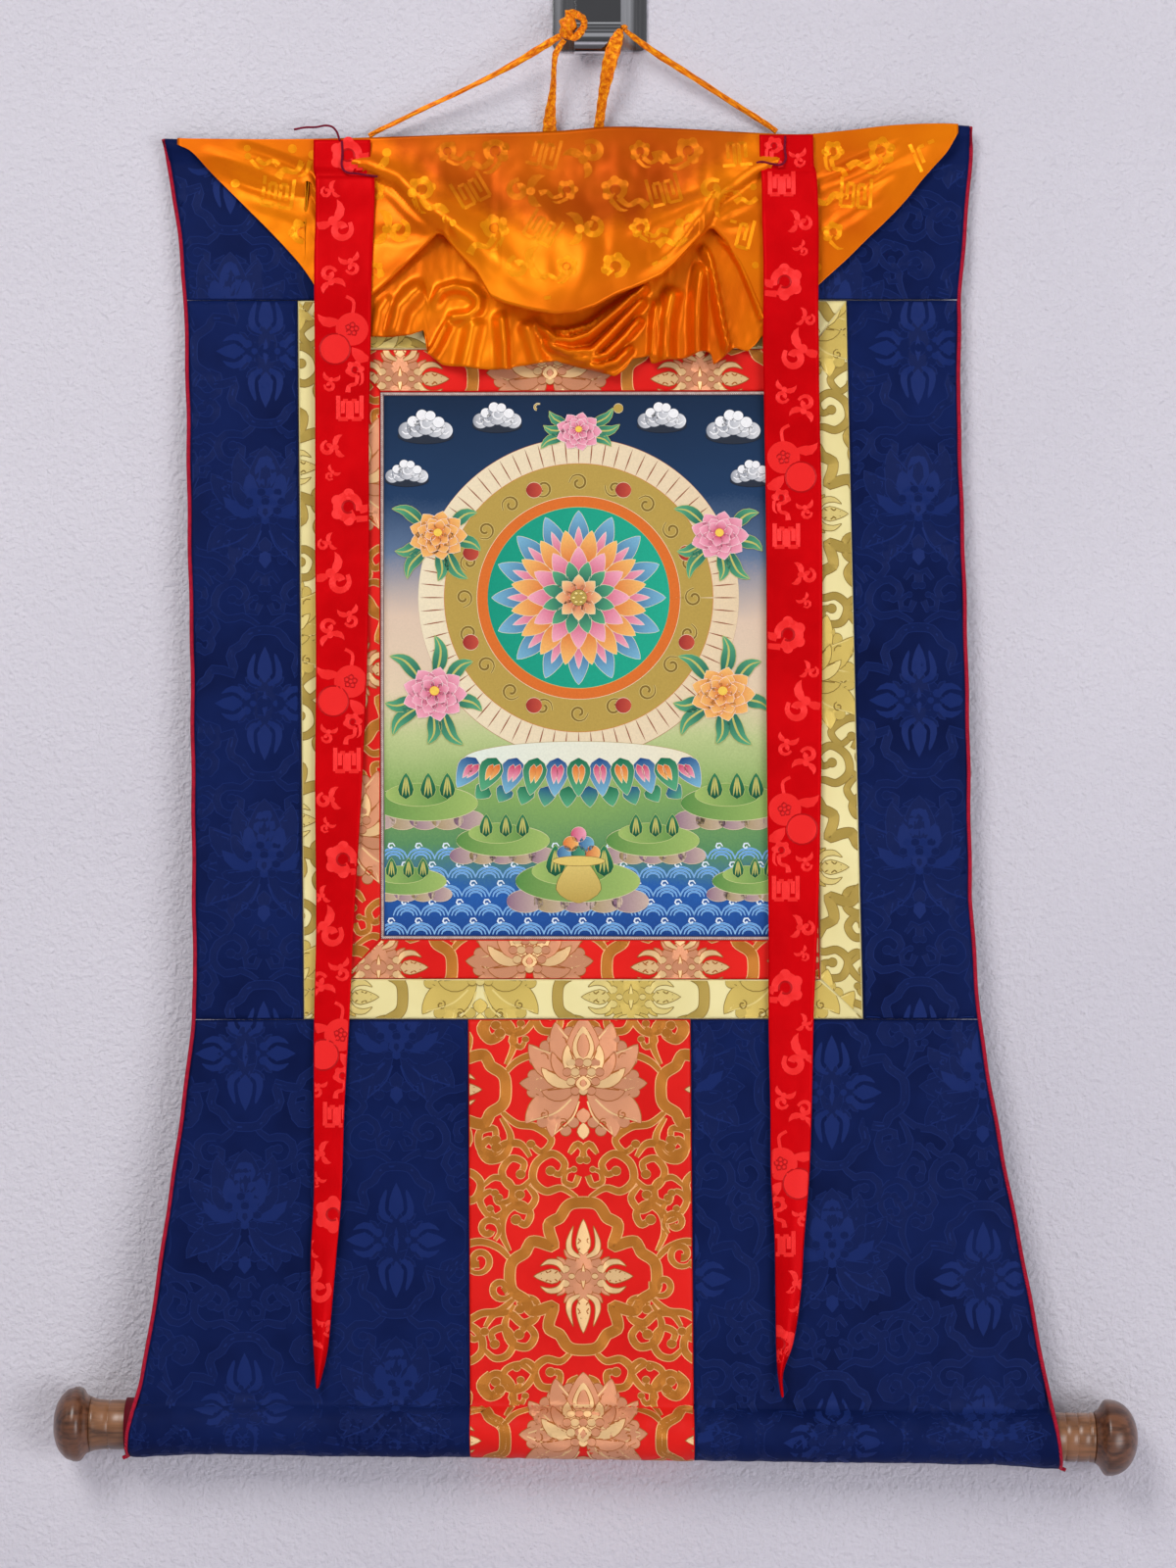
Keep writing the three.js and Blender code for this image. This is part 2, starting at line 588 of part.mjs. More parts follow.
// --- veil: satin sewn along the top edge and gathered up on a cord, so that it falls in front as a pouch, turns back up to the
// cord, and falls again behind in pleats. Each column is one back-and-forth section.
// columns: x, z of the fold, z of the cord, z of the hem, how far the fold stands out, how far the rear fall stands out, share folded
const VEIL = [
  [-271.6, 0, 0, -92.5, 4, 4, 0],
  [-262.7, 0, 0, -96.9, 4, 4, 0],
  [-251.3, 0, 0, -109, 4, 4, 0],
  [-238.6, 0, 0, -121.7, 3.5, 3.5, 0],
  [-226, 0, 0, -134.3, 3.5, 3.5, 0],
  [-213.3, 0, 0, -147, 3, 3, 0],
  [-201.3, 0, 0, -159.7, 3, 3, 0],
  [-190.5, 0, 0, -172.4, 3, 3, 0],
  [-180.4, -185.7, -179.3, -188.2, 4, 2.6, 0.2],
  [-170.3, -188.2, -175.5, -207.2, 7, 2.6, 0.85],
  [-161.5, -187.6, -171.7, -215.4, 8, 2.6, 1],
  [-152.6, -185.7, -166.7, -215.8, 8.5, 2.6, 1],
  [-143.8, -182.5, -162.9, -214.2, 9, 2.8, 1],
  [-135, -174.9, -156.5, -212.9, 10, 3, 1],
  [-126.2, -167.9, -151.5, -211, 11.5, 3.4, 1],
  [-117.3, -160.3, -146.4, -208.5, 13, 4, 1],
  [-112.9, -156.5, -144.5, -218.6, 14, 4, 1],
  [-107.9, -152.1, -143.2, -228.1, 15, 4, 1],
  [-102.2, -152.1, -142.6, -229.4, 17, 4, 1],
  [-94, -160.3, -145.1, -231.3, 20, 4, 1],
  [-84.5, -169.8, -147.7, -233.2, 23, 4.5, 1],
  [-74.4, -181.2, -150.2, -234.7, 26, 5, 1],
  [-64.3, -192, -152.1, -235.7, 29, 5, 1],
  [-58, -195.2, -153.4, -235.7, 30, 5, 1],
  [-51.1, -197.7, -154, -233.2, 31, 5, 1],
  [-42.2, -200.2, -154.6, -232.5, 32, 5, 1],
  [-34, -202.1, -155.3, -231.3, 33, 5, 1],
  [-25.2, -203.4, -155.3, -231.3, 33, 5, 1],
  [-15.1, -202.5, -155.3, -233.8, 33, 5, 1],
  [-6.3, -199.6, -154.6, -236.3, 32, 5, 1],
  [1.9, -195.2, -154, -238.9, 31, 5, 1],
  [10.1, -190.7, -153.4, -240.4, 30, 5, 1],
  [17.7, -187.6, -152.1, -236.3, 28, 5, 1],
  [24.6, -184.4, -151.5, -228.7, 27, 4.5, 1],
  [32.2, -180.6, -150.2, -230, 25, 4, 1],
  [39.8, -176.2, -148.9, -230.3, 23, 4, 1],
  [48, -168.6, -147.7, -228.4, 21, 4, 1],
  [56.2, -159.7, -146.4, -226.8, 19, 4, 1],
  [63.2, -152.1, -145.1, -224.9, 17, 4, 1],
  [68.2, -147.7, -141.3, -224.3, 15, 3.6, 1],
  [72.6, -147, -140, -231.3, 14, 3.6, 1],
  [78.9, -154.6, -142.6, -228.7, 12.5, 3.4, 1],
  [85.2, -164.8, -150.2, -226.5, 11, 3, 1],
  [91.5, -176.2, -159.1, -224.6, 10, 3, 1],
  [98.5, -188.2, -170.5, -221.1, 9, 3, 1],
  [106, -196.4, -180.6, -214.2, 8.5, 2.8, 1],
  [114.8, -199.6, -185.7, -209.1, 7.5, 2.6, 0.9],
  [123.7, -195.8, -186.9, -200.2, 5, 2.6, 0.5],
  [132.5, 0, 0, -190.7, 3.4, 2.6, 0],
  [145.2, 0, 0, -178.7, 3, 3, 0],
  [159.1, 0, 0, -166, 3, 3, 0],
  [171.7, 0, 0, -153.4, 3.5, 3.5, 0],
  [185, 0, 0, -140.7, 3.5, 3.5, 0],
  [197, 0, 0, -128, 4, 4, 0],
  [207.2, 0, 0, -115.3, 4, 4, 0],
  [216.7, 0, 0, -104.5, 4, 4, 0],
  [223.6, 0, 0, -96.9, 4, 4, 0],
  [230.6, 0, 0, -84.8, 4, 4, 0],
];
// ridges of the rear fall: x and z where the ridge starts, x at the hem level, z of that level, half width there, height there
const PLEATS = [
  [-104.7, -150.2, -136.9, -210.4, 13, 3.5],
  [-100.9, -153.4, -94.6, -194.5, 13, 7],
  [-89.6, -164.1, -67.5, -233.8, 11, 8],
  [-58, -188.2, -45.4, -232.5, 7, 3.5],
  [59.4, -156.5, 45.5, -226.2, 6.5, 6.5],
  [65.7, -150.2, 61.3, -221.1, 8, 7.5],
  [70.1, -145.1, 78.9, -216.7, 7, 9],
  [72.6, -147, 97.2, -221.1, 8, 3],
];
function rearRelief(x, z) {
  let d = 0;
  for (const [x0, z0, x1, z1, half, high] of PLEATS) {
    const s = clamp01((z0 - z) / (z0 - z1));
    d = Math.max(d, high * s ** 0.7 * bump((x - lerp(x0, x1, (z0 - z) / (z0 - z1))) / lerp(half * 0.35, half, s)));
  }
  // swags under the pouch: rounded folds that hang between the two gathers
  const [dx, dz] = [(x - 6.3) / 1.25, z - -164.1],
    r = Math.hypot(dx, dz),
    inside = smooth((Math.PI * 0.5 - Math.abs(Math.atan2(dx, -dz))) / 0.5);
  const swag = smooth((r - 26) / 8) * inside * (9 + 3.2 * Math.cos((r - 45) / 1.75)) * smooth((x - -57.8) / 18) * smooth((44 - x) / 16);
  return Math.max(d, swag * 0.9);
}
function veilSection([x, fold, cordZ, hem, out, rear, share]) {
  const top = topEdge(x) - 0.4,
    start = HEM.front - 1.1,
    pts = [];
  const before = (z, d) => clothFront(x, z) - d;
  const flat = (t) => {
    const z = lerp(top, hem, t);
    return [lerp(start, before(z, 3.4), smooth((top - z - HEM.height - 1) / 16)), z];
  };
  const N = 16;
  for (let k = 0; k < N; k++) {
    let p;
    if (k <= 5) {
      const t = k / 5,
        z = lerp(top, fold + 2.2, t),
        d = lerp(start, before(z, out), Math.sin((t * Math.PI) / 2) ** 1.15);
      p = [d, z];
    } else if (k <= 7) {
      p = [before(fold, out - (k === 6 ? 0.9 : 2.9)), fold + (k === 6 ? 0.1 : 0.6)];
    } else if (k <= 9) {
      const t = (k - 7) / 2.4;
      p = [lerp(before(fold, out - 3.6), before(cordZ, rear + 3.2), t), lerp(fold + 1.2, cordZ, t)];
    } else if (k === 10) {
      p = [before(cordZ, rear + 1.5), cordZ + 0.6];
    } else {
      const t = (k - 10.6) / (N - 1 - 10.6),
        z = lerp(cordZ, hem, t);
      p = [before(z, rear + rearRelief(x, z)), z];
    }
    const q = flat(k / (N - 1));
    pts.push(share === 0 ? q : [lerp(q[0], p[0], share), lerp(q[1], p[1], share)]);
  }
  const half = CLOTH / 2,
    face = (s) =>
      pts.map((p, i) => {
        const a = pts[Math.max(0, i - 1)],
          b = pts[Math.min(N - 1, i + 1)],
          l = Math.hypot(b[0] - a[0], b[1] - a[1]);
        return [x, p[0] + (s * half * (b[1] - a[1])) / l, p[1] - (s * half * (b[0] - a[0])) / l];
      });
  return [face(1), face(-1)];
}
{
  const cols = VEIL.map(veilSection);
  add("veil", sheet(cols.map((c) => c[0]), cols.map((c) => c[1])), "satin");
}

// --- hanging ribbons: a turned-over head sewn at the top edge, a long fall over the veil, and a curled tip.
// columns: z, left x, right x, how far the back face stands before the cloth, how far the tip has turned
const RIBBONS = {
  ribbon_left: [
    [-89.9, -183.8, -147.1, 0, 0],
    [-110.9, -183.7, -147.1, 0, 0],
    [-113.4, -182.5, -144.6, 9.2, 0],
    [-140.7, -182.4, -144.8, 9.4, 0],
    [-164.1, -183, -145.7, 10.2, 0],
    [-186.9, -182.9, -146.3, 10.6, 0],
    [-219.9, -182.9, -146.9, 6, 0],
    [-276.8, -182.7, -148.1, 3.4, 0],
    [-352.6, -182.6, -147.9, 3, 0],
    [-428.2, -181.8, -149.1, 3, 0],
    [-503.7, -182.2, -152.1, 3.2, 0],
    [-597.8, -181.4, -157.5, 3.4, 0],
    [-654.2, -182.5, -160, 3.2, 0],
    [-710.5, -182.4, -163, 3, 0.1],
    [-766.7, -182.3, -164.7, 3.2, 0.2],
    [-804.2, -184.1, -167.8, 3.6, 0.35],
    [-841.6, -183.4, -170.9, 4, 0.6],
    [-865.2, -182.1, -173.3, 4.2, 0.8],
    [-887.4, -180.6, -178.4, 4.6, 1],
  ],
  ribbon_right: [
    [-86.7, 102.4, 137.1, 0, 0],
    [-107.1, 103, 137.7, 0, 0],
    [-109.6, 103.6, 139, 9.4, 0],
    [-140.7, 104.2, 140.5, 9.6, 0],
    [-164.1, 104.8, 140.5, 10.2, 0],
    [-191.4, 104.8, 140.1, 10.6, 0],
    [-219.9, 104.7, 140.7, 6, 0],
    [-264.1, 105.6, 141.2, 3.4, 0],
    [-314.7, 106.5, 142.4, 3, 0],
    [-377.8, 107, 142.9, 3, 0],
    [-453.4, 106.9, 142.4, 3, 0],
    [-522.5, 107.4, 141.4, 3.2, 0],
    [-597.8, 108, 139.3, 3.4, 0],
    [-654.2, 107.9, 136.7, 3.2, 0],
    [-710.5, 109, 135.4, 3, 0.1],
    [-754.2, 109.3, 133.7, 3.4, 0.25],
    [-791.7, 111.4, 130.5, 3.8, 0.45],
    [-829.1, 112, 128, 4, 0.6],
    [-860.2, 112.3, 123.2, 4.2, 0.8],
    [-878.9, 113.2, 116.9, 4.6, 1],
    [-893.3, 115.2, 117.1, 5, 1],
  ],
};
const HEAD_BACK = HEM.front - 1.1 - CLOTH / 2 - 0.9; // the ribbon's head lies on the veil's sewn edge
for (const [name, rowsOf] of Object.entries(RIBBONS)) {
  const across = 4,
    front = [],
    back = [];
  for (let i = 0; i <= across; i++) {
    const u = i / across;
    front.push([]);
    back.push([]);
    rowsOf.forEach(([z, x0, x1, d, turn], k) => {
      const mid = (x0 + x1) / 2,
        x = lerp(x0, x1, u),
        head = k < 2,
        lap = k < 2 ? 2 : 1,
        y = head ? HEAD_BACK - (k === 1 ? 0.8 : 0) : Math.min(clothFront(mid, z), clothFront(x, z)) - d - turn * 5 * Math.sin(u * Math.PI) - 0.5 * Math.sin(z / 41 + u * 2);
      front[i].push([x, y - lap, z]);
      back[i].push([x, y, z]);
    });
  }
  add(name, sheet(front, back), "crimson");
}

// --- maroon thread: a stitch down the head of each ribbon that runs on to the gathered veil, and one loose end at the left
const THREAD = 0.8;
const before = HEAD_BACK - 2 - THREAD - 2 * GAP;
add(
  "gather_thread_left",
  tube(
    eased([
      [-165.5, before, -90.9],
      [-165.1, before - 0.1, -99.4],
      [-165.4, before - 0.7, -107.1],
      [-163.5, before - 1.1, -110.5],
      [-155.3, before - 1.2, -112.1],
      [-147.1, before - 1.2, -113.4],
      [-142.4, before - 1.1, -114],
    ], 12),
    THREAD,
    6,
  ),
  "maroon",
);
add(
  "gather_thread_right",
  tube(
    eased([
      [119.1, before, -87.7],
      [118.8, before - 0.1, -96.3],
      [119.1, before - 0.7, -103.2],
      [116.9, before - 1.1, -106.1],
      [110.6, before - 1.1, -105.8],
      [103.6, before - 1.1, -104.5],
      [100.5, before - 1.1, -105.2],
    ], 12),
    THREAD,
    6,
  ),
  "maroon",
);
add(
  "loose_thread",
  tube(
    eased([
      [-167, before, -90.2],
      [-169.3, before + 0.6, -84.2],
      [-174.9, HEM.front + 0.5, -80],
      [-183.1, HEM.front + 2.5, -80.6],
      [-190, HEM.front + 3.5, -80.6],
      [-197, HEM.front + 4.2, -81.8],
    ], 14),
    THREAD,
    8,
  ),
  "maroon",
);

// --- hanging tapes of twisted silk: columns x, y, z of the middle, width, turn of its face about the run in degrees
function tape(rows, thick = 1.3) {
  const faces = [[], []];
  const pts = rows.map((r) => new THREE.Vector3(r[0], r[1], r[2]));
  const edges = rows.map((r, i) => {
    const run = pts[Math.min(pts.length - 1, i + 1)].clone().sub(pts[Math.max(0, i - 1)]).normalize();
    const out = new THREE.Vector3(0, -1, 0);
    const flat = run.clone().cross(out).normalize(),
      face = flat.clone().cross(run).normalize(),
      a = THREE.MathUtils.degToRad(r[4] ?? 0);
    const w = flat.clone().multiplyScalar(Math.cos(a)).addScaledVector(face, Math.sin(a)),
      n = face.clone().multiplyScalar(Math.cos(a)).addScaledVector(flat, -Math.sin(a));
    return [-0.5, 0, 0.5].map((u) =>
      [1, -1].map((s) => {
        const p = pts[i].clone().addScaledVector(w, u * r[3]).addScaledVector(n, (s * thick * (u ? 0.7 : 1)) / 2);
        return [p.x, p.y, p.z];
      }),
    );
  });
  for (let s = 0; s < 2; s++) for (let u = 0; u < 3; u++) faces[s].push(edges.map((e) => e[u][s]));
  return sheet(faces[0], faces[1]);
}
add(
  "tape_left_outer",
  tape([
    [-148.8, -5.7, topEdge(-148.8) + 2, 3.2, 0],
    [-142.7, -6.6, -82.4, 3.3, 10],
    [-133.8, -8, -78.5, 3.4, 20],
    [-114.8, -10.6, -69.7, 3.2, 10],
    [-94.5, -13, -60.7, 3.6, 25],
    [-73.6, -15.4, -51.1, 3.4, 5],
    [-54.7, -17.6, -41.5, 4.2, -10],
    [-40.2, -19.4, -33.2, 4.8, -15],
    [-30.8, -21, -27.8, 4.6, -8],
    [-25.2, -22.2, -24.5, 3.8, -5],
  ]),
  "satin",
);
add(
  "tape_left_inner",
  tape([
    [-32.3, -5.8, topEdge(-32.7) + 0.75, 9, 0],
    [-32.2, -7.2, -77, 8.4, 0],
    [-31.5, -10.2, -68.5, 6.6, 12],
    [-30.3, -13.2, -59.5, 5.2, 25],
    [-29.6, -16.4, -50.5, 4.2, 35],
    [-29.2, -19, -42.1, 3.8, 30],
    [-28.3, -20.6, -36.2, 4.2, 10],
    [-25.7, -21.4, -31.4, 3.8, 0],
    [-22.6, -22.3, -27.2, 3.4, 0],
  ]),
  "satin",
);
add(
  "tape_right_inner",
  tape([
    [-0.6, -5.8, topEdge(-0.6) + 0.7, 6.6, 0],
    [0.4, -8, -73.3, 6.2, 5],
    [1.9, -12.2, -62.5, 6.6, 15],
    [4.1, -16.6, -51.7, 8.2, 12],
    [6.6, -20, -40.4, 9.4, -5],
    [9.7, -21, -30.2, 9.2, -10],
    [12.2, -20.9, -23.5, 6.4, -5],
    [13.2, -20.65, -20, 3.4, 0],
  ]),
  "satin",
);
add(
  "tape_right_outer",
  tape([
    [114.3, -5.7, topEdge(114.3) + 2.1, 3.4, 0],
    [108, -6.6, -78.5, 3.6, 8],
    [98.5, -7.8, -72.7, 3.8, 15],
    [80.7, -10, -61.9, 3.8, 5],
    [60.4, -12.8, -49.3, 4.2, -10],
    [42.7, -15.4, -38.6, 4.4, 5],
    [29.5, -17.6, -30.2, 4.2, 10],
    [21.3, -19, -24.4, 3.6, 5],
    [16.1, -20.9, -20.6, 2.6, 0],
  ]),
  "satin",
);
// the part that lies in the hook's trough, against the back of its lip, and comes round both ends of the lip
add(
  "tape_bridge",
  tape([
    [-19.8, -18.4, -17.8, 4, 0],
    [-17.6, -17.2, -18.8, 4.6, 0],
    [-12.6, -16.5, -20.3, 5, 0],
    [-3.8, -16.4, -20.9, 5.4, 0],
    [6.3, -16.4, -20.3, 5.4, 0],
    [12.6, -16.6, -19.1, 4.6, 0],
    [15.7, -17.8, -18.4, 4, 0],
    [16.6, -19.8, -19.1, 3.6, 0],
  ]),
  "satin",
);
// the knot stands at the lip's left end, with its loop in front of the lip
{
  const weld = (g) => {
    const m = new Map(),
      v = [],
      f = [],
      p = g.getAttribute("position"),
      id = [...g.index.array].map((k) => {
        const key = [p.getX(k), p.getY(k), p.getZ(k)].map((c) => c.toFixed(4)).join();
        if (!m.has(key)) {
          m.set(key, v.length / 3);
          v.push(p.getX(k), p.getY(k), p.getZ(k));
        }
        return m.get(key);
      });
    for (let i = 0; i < id.length; i += 3) if (new Set(id.slice(i, i + 3)).size === 3) f.push(...id.slice(i, i + 3));
    return closed(v, f);
  };
  const lump = new THREE.SphereGeometry(1, 12, 8).scale(5, 3.2, 8.4).rotateY(0.22).translate(-20.7, -22.4, -18.4);
  const loop = tube(
    eased([
      [-22, -22.6, -11.5],
      [-15.7, -22.4, -10.6],
      [-10.4, -22, -13.4],
      [-8.8, -21.9, -17.8],
      [-11.3, -21.9, -22.8],
      [-15.4, -22, -26.3],
      [-20.7, -22.4, -24.7],
    ], 14),
    1.9,
    8,
  );
  add("tape_knot", join(weld(lump), loop), "satin");
}

export default group;
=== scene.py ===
import math

import bmesh
import bpy
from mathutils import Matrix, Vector, noise


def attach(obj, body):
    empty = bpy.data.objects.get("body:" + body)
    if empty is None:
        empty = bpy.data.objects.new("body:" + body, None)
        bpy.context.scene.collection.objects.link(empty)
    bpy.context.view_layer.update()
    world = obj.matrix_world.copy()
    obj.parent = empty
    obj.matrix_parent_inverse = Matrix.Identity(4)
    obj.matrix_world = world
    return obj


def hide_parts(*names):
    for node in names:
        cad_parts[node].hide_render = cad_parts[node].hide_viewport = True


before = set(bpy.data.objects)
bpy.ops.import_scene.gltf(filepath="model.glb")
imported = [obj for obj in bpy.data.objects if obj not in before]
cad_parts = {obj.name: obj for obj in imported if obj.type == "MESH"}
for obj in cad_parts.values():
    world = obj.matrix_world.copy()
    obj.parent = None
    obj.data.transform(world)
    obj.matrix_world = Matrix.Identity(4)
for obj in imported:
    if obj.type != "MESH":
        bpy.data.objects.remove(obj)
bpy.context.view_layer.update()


# ---------------------------------------------------------------- camera
# A portrait view from 2.2 m, level, square to the wall and a little below the middle of the scroll.
lens = bpy.data.cameras.new("camera")
lens.sensor_width = 36.0
lens.lens = 78.8
camera = bpy.data.objects.new("camera", lens)
camera.location = (-0.0075, -2.2200, -0.5037)
camera.rotation_euler = (math.radians(90), 0, 0)
bpy.context.collection.objects.link(camera)
bpy.context.scene.camera = camera


# ---------------------------------------------------------------- loose thread
# The free end of the maroon sewing thread that gathers the veil: it sticks out to the left above the left
# ribbon's head, and
# its end is cut off bare.
def shader(name, **sockets):
    """A new material and its Principled shader, with plain numbers set on the shader's own sockets."""
    material = bpy.data.materials.new(name)
    material.use_nodes = True
    principled = material.node_tree.nodes["Principled BSDF"]
    for socket, value in sockets.items():
        principled.inputs[socket.replace("_", " ")].default_value = value
    return material, principled


def node(material, kind, inputs=None, **settings):
    """A node of that kind, with its settings and its inputs: a number, a colour or another node's output."""
    made = material.node_tree.nodes.new("ShaderNode" + kind)
    for key, value in settings.items():
        setattr(made, key, value)
    for key, value in (inputs or {}).items():
        if isinstance(value, bpy.types.NodeSocket):
            material.node_tree.links.new(value, made.inputs[key])
        else:
            made.inputs[key].default_value = value
    return made


def wire(material, output, socket):
    material.node_tree.links.new(output, socket)


def bump(material, principled, height, strength, distance):
    """Relief on a shader from a height, with its depth in metres."""
    relief = node(material, "Bump", {"Height": height, "Strength": strength, "Distance": distance})
    wire(material, relief.outputs["Normal"], principled.inputs["Normal"])


def blend(material, share, first, second, kind="MIX"):
    """Two colours mixed or multiplied by a share."""
    return node(
        material, "Mix", {0: share, 6: first, 7: second}, data_type="RGBA", blend_type=kind
    ).outputs[2]


def maths(material, operation, *values):
    """One sum on numbers or outputs."""
    return node(material, "Math", dict(enumerate(values)), operation=operation).outputs[0]


def remap(material, value, low=0.0, high=1.0, start=0.0, end=1.0):
    """A value from start to end, spread over low to high."""
    spread = {"Value": value, "From Min": start, "From Max": end, "To Min": low, "To Max": high}
    return node(material, "MapRange", spread).outputs[0]


def own_place(material):
    """Object coordinates, in which every pattern is laid."""
    return node(material, "TexCoord").outputs["Object"]


def smooth_metres(mesh):
    """Takes a mesh from millimetres to metres and shades it smooth."""
    bmesh.ops.scale(mesh, vec=(0.001, 0.001, 0.001), verts=mesh.verts)
    for face in mesh.faces:
        face.smooth = True


def made_of(name, mesh, finish):
    """The object that a finished mesh becomes, in its one material."""
    data = bpy.data.meshes.new(name)
    mesh.to_mesh(data)
    mesh.free()
    made = bpy.data.objects.new(name, data)
    bpy.context.collection.objects.link(made)
    data.materials.append(finish)
    return made


def fit(made, slot, *nodes):
    """Fixes a piece to the one body and hides the CAD nodes that it stands for; its slot is not used."""
    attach(made, "root")
    if nodes:
        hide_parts(*nodes)
    return made


def paint(red, green, blue):
    """A dye or paint given in everyday 0-255 numbers, as the linear colour that a shader takes."""
    return (
        tuple(((c / 255 + 0.055) / 1.055) ** 2.4 if c > 10 else c / 255 / 12.92 for c in (red, green, blue))
        + (1.0,)
    )


def ramp(material, factor, *stops):
    """A colour ramp with stops of (place, colour)."""
    made = node(material, "ValToRGB", {"Fac": factor})
    band = made.color_ramp
    while len(band.elements) < len(stops):
        band.elements.new(0.5)
    for element, (place, colour) in zip(band.elements, stops):
        element.position, element.color = place, colour
    return made.outputs["Color"]


def twisted_thread(name, dark, light, turns=900):
    """Plied thread: slanting plies across the strand, on Object coordinates."""
    material, principled = shader(name, Roughness=0.75, Sheen_Weight=0.05, Specular_IOR_Level=0.12)
    place = own_place(material)
    plies = node(
        material, "TexWave", {"Vector": place, "Scale": turns, "Distortion": 1.0},
        bands_direction="DIAGONAL"
    )
    fuzz = node(material, "TexNoise", {"Vector": place, "Scale": 400.0})
    mixed = maths(material, "MULTIPLY", plies.outputs["Fac"], fuzz.outputs["Fac"])
    wire(material, ramp(material, mixed, (0.05, dark), (0.6, light)), principled.inputs["Base Color"])
    bump(material, principled, plies.outputs["Fac"], 0.6, 0.0002)
    return material


maroon_thread = twisted_thread("maroon_sewing_thread", paint(84, 0, 30), paint(156, 10, 54))


def strand(name, route, radius, finish, slot):
    """A thread through the points of its route, given in millimetres."""
    curve = bpy.data.curves.new(name, "CURVE")
    curve.dimensions = "3D"
    curve.bevel_depth = radius / 1000
    curve.bevel_resolution = 3
    curve.resolution_u = 8
    curve.use_fill_caps = True
    spline = curve.splines.new("BEZIER")
    spline.bezier_points.add(len(route) - 1)
    for point, place in zip(spline.bezier_points, route):
        point.co = Vector(place) / 1000
        point.handle_left_type = point.handle_right_type = "AUTO"
    made = bpy.data.objects.new(name, curve)
    bpy.context.collection.objects.link(made)
    made.data.materials.append(finish)
    return fit(made, slot)


loose_end = strand(
    "thread_end",
    [
        (-167, -16.8, -90.2), (-169.3, -16.2, -84.2), (-174.9, -11.1, -80), (-183.1, -9.1, -80.6),
        (-190, -8.1, -80.6), (-197, -7.4, -81.8)
    ],
    0.7, maroon_thread, "maroon_thread",
)
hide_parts("loose_thread")


# ---------------------------------------------------------------- wall, floor and light
# A painted plaster wall behind the hook and a pale floor under it, lit softly from the upper left as by a
# large window.
plaster, plaster_shader = shader("painted_plaster", Roughness=0.9)
place = own_place(plaster)
trowel = node(plaster, "TexNoise", {"Vector": place, "Scale": 240.0, "Detail": 4.0, "Roughness": 0.65})
patches = node(plaster, "TexNoise", {"Vector": place, "Scale": 2.2, "Detail": 2.0})
wire(
    plaster,
    ramp(plaster, patches.outputs["Fac"], (0.35, paint(212, 208, 217)), (0.65, paint(222, 218, 226))),
    plaster_shader.inputs["Base Color"]
)
bump(plaster, plaster_shader, trowel.outputs["Fac"], 1.0, 0.003)
behind = node(plaster, "BsdfTransparent")
one_sided = node(
    plaster, "MixShader",
    {
        0: node(plaster, "NewGeometry").outputs["Backfacing"], 1: plaster_shader.outputs[0],
        2: behind.outputs[0]
    }
)
wire(plaster, one_sided.outputs[0], plaster.node_tree.nodes["Material Output"].inputs["Surface"])

for name, corners in (
    ("wall", [(-2.4, 0.0006, -1.62), (2.4, 0.0006, -1.62), (2.4, 0.0006, 1.3), (-2.4, 0.0006, 1.3)]),
    ("floor", [(-3.4, -3.6, -1.62), (3.4, -3.6, -1.62), (3.4, 3.0, -1.62), (-3.4, 3.0, -1.62)]),
):
    mesh = bmesh.new()
    mesh.faces.new([mesh.verts.new(corner) for corner in corners])
    backdrop = made_of(name, mesh, plaster)
    backdrop.visible_shadow = name == "floor"  # the light behind the wall reaches the back of the cloth


def softbox(name, place, aim, size, watts, tint=(1.0, 1.0, 1.0)):
    light = bpy.data.lights.new(name, "AREA")
    light.shape = "RECTANGLE"
    light.size, light.size_y = size
    light.energy = watts
    light.color = tint
    lamp = bpy.data.objects.new(name, light)
    lamp.location = place
    lamp.rotation_euler = (Vector(aim) - Vector(place)).to_track_quat("-Z", "Y").to_euler()
    bpy.context.collection.objects.link(lamp)


softbox("window_light", (-1.3, -2.5, 1.5), (0, 0, -0.45), (1.3, 1.5), 62, (1.0, 0.985, 0.965))
softbox("fill_light", (2.1, -2.7, -1.0), (0, 0, -0.6), (1.8, 1.8), 52, (0.96, 0.97, 1.0))
softbox("back_light", (0.6, 2.6, 0.6), (0, 0, -0.5), (1.6, 1.6), 14)
room = bpy.data.worlds.new("room")
room.use_nodes = True
room.node_tree.nodes["Background"].inputs["Color"].default_value = (0.86, 0.87, 0.92, 1)
room.node_tree.nodes["Background"].inputs["Strength"].default_value = 0.38
bpy.context.scene.world = room
bpy.context.scene.view_settings.view_transform = "Standard"


# ---------------------------------------------------------------- navy damask mount
# The ground that everything else is sewn to: a top panel rolled round a flat stick, two side panels beside
# the picture and two
# flared lower panels that end in a stitched pocket for the roller. Each is cut from navy silk damask and
# lined.
CLOTH = 1.2  # thickness of a lined cloth; this and all sizes below are in millimetres
GAP = 0.3  # between pieces sewn edge to edge
ROD_DEPTH, ROD_LEFT, ROD_RIGHT, ROD_Z_LEFT, ROD_Z_RIGHT = -24.8, -325.2, 315.8, -913.1, -921.6
POCKET_INNER, POCKET_FLARE, FLARE_LENGTH = 16.3, 2.2, 45.0
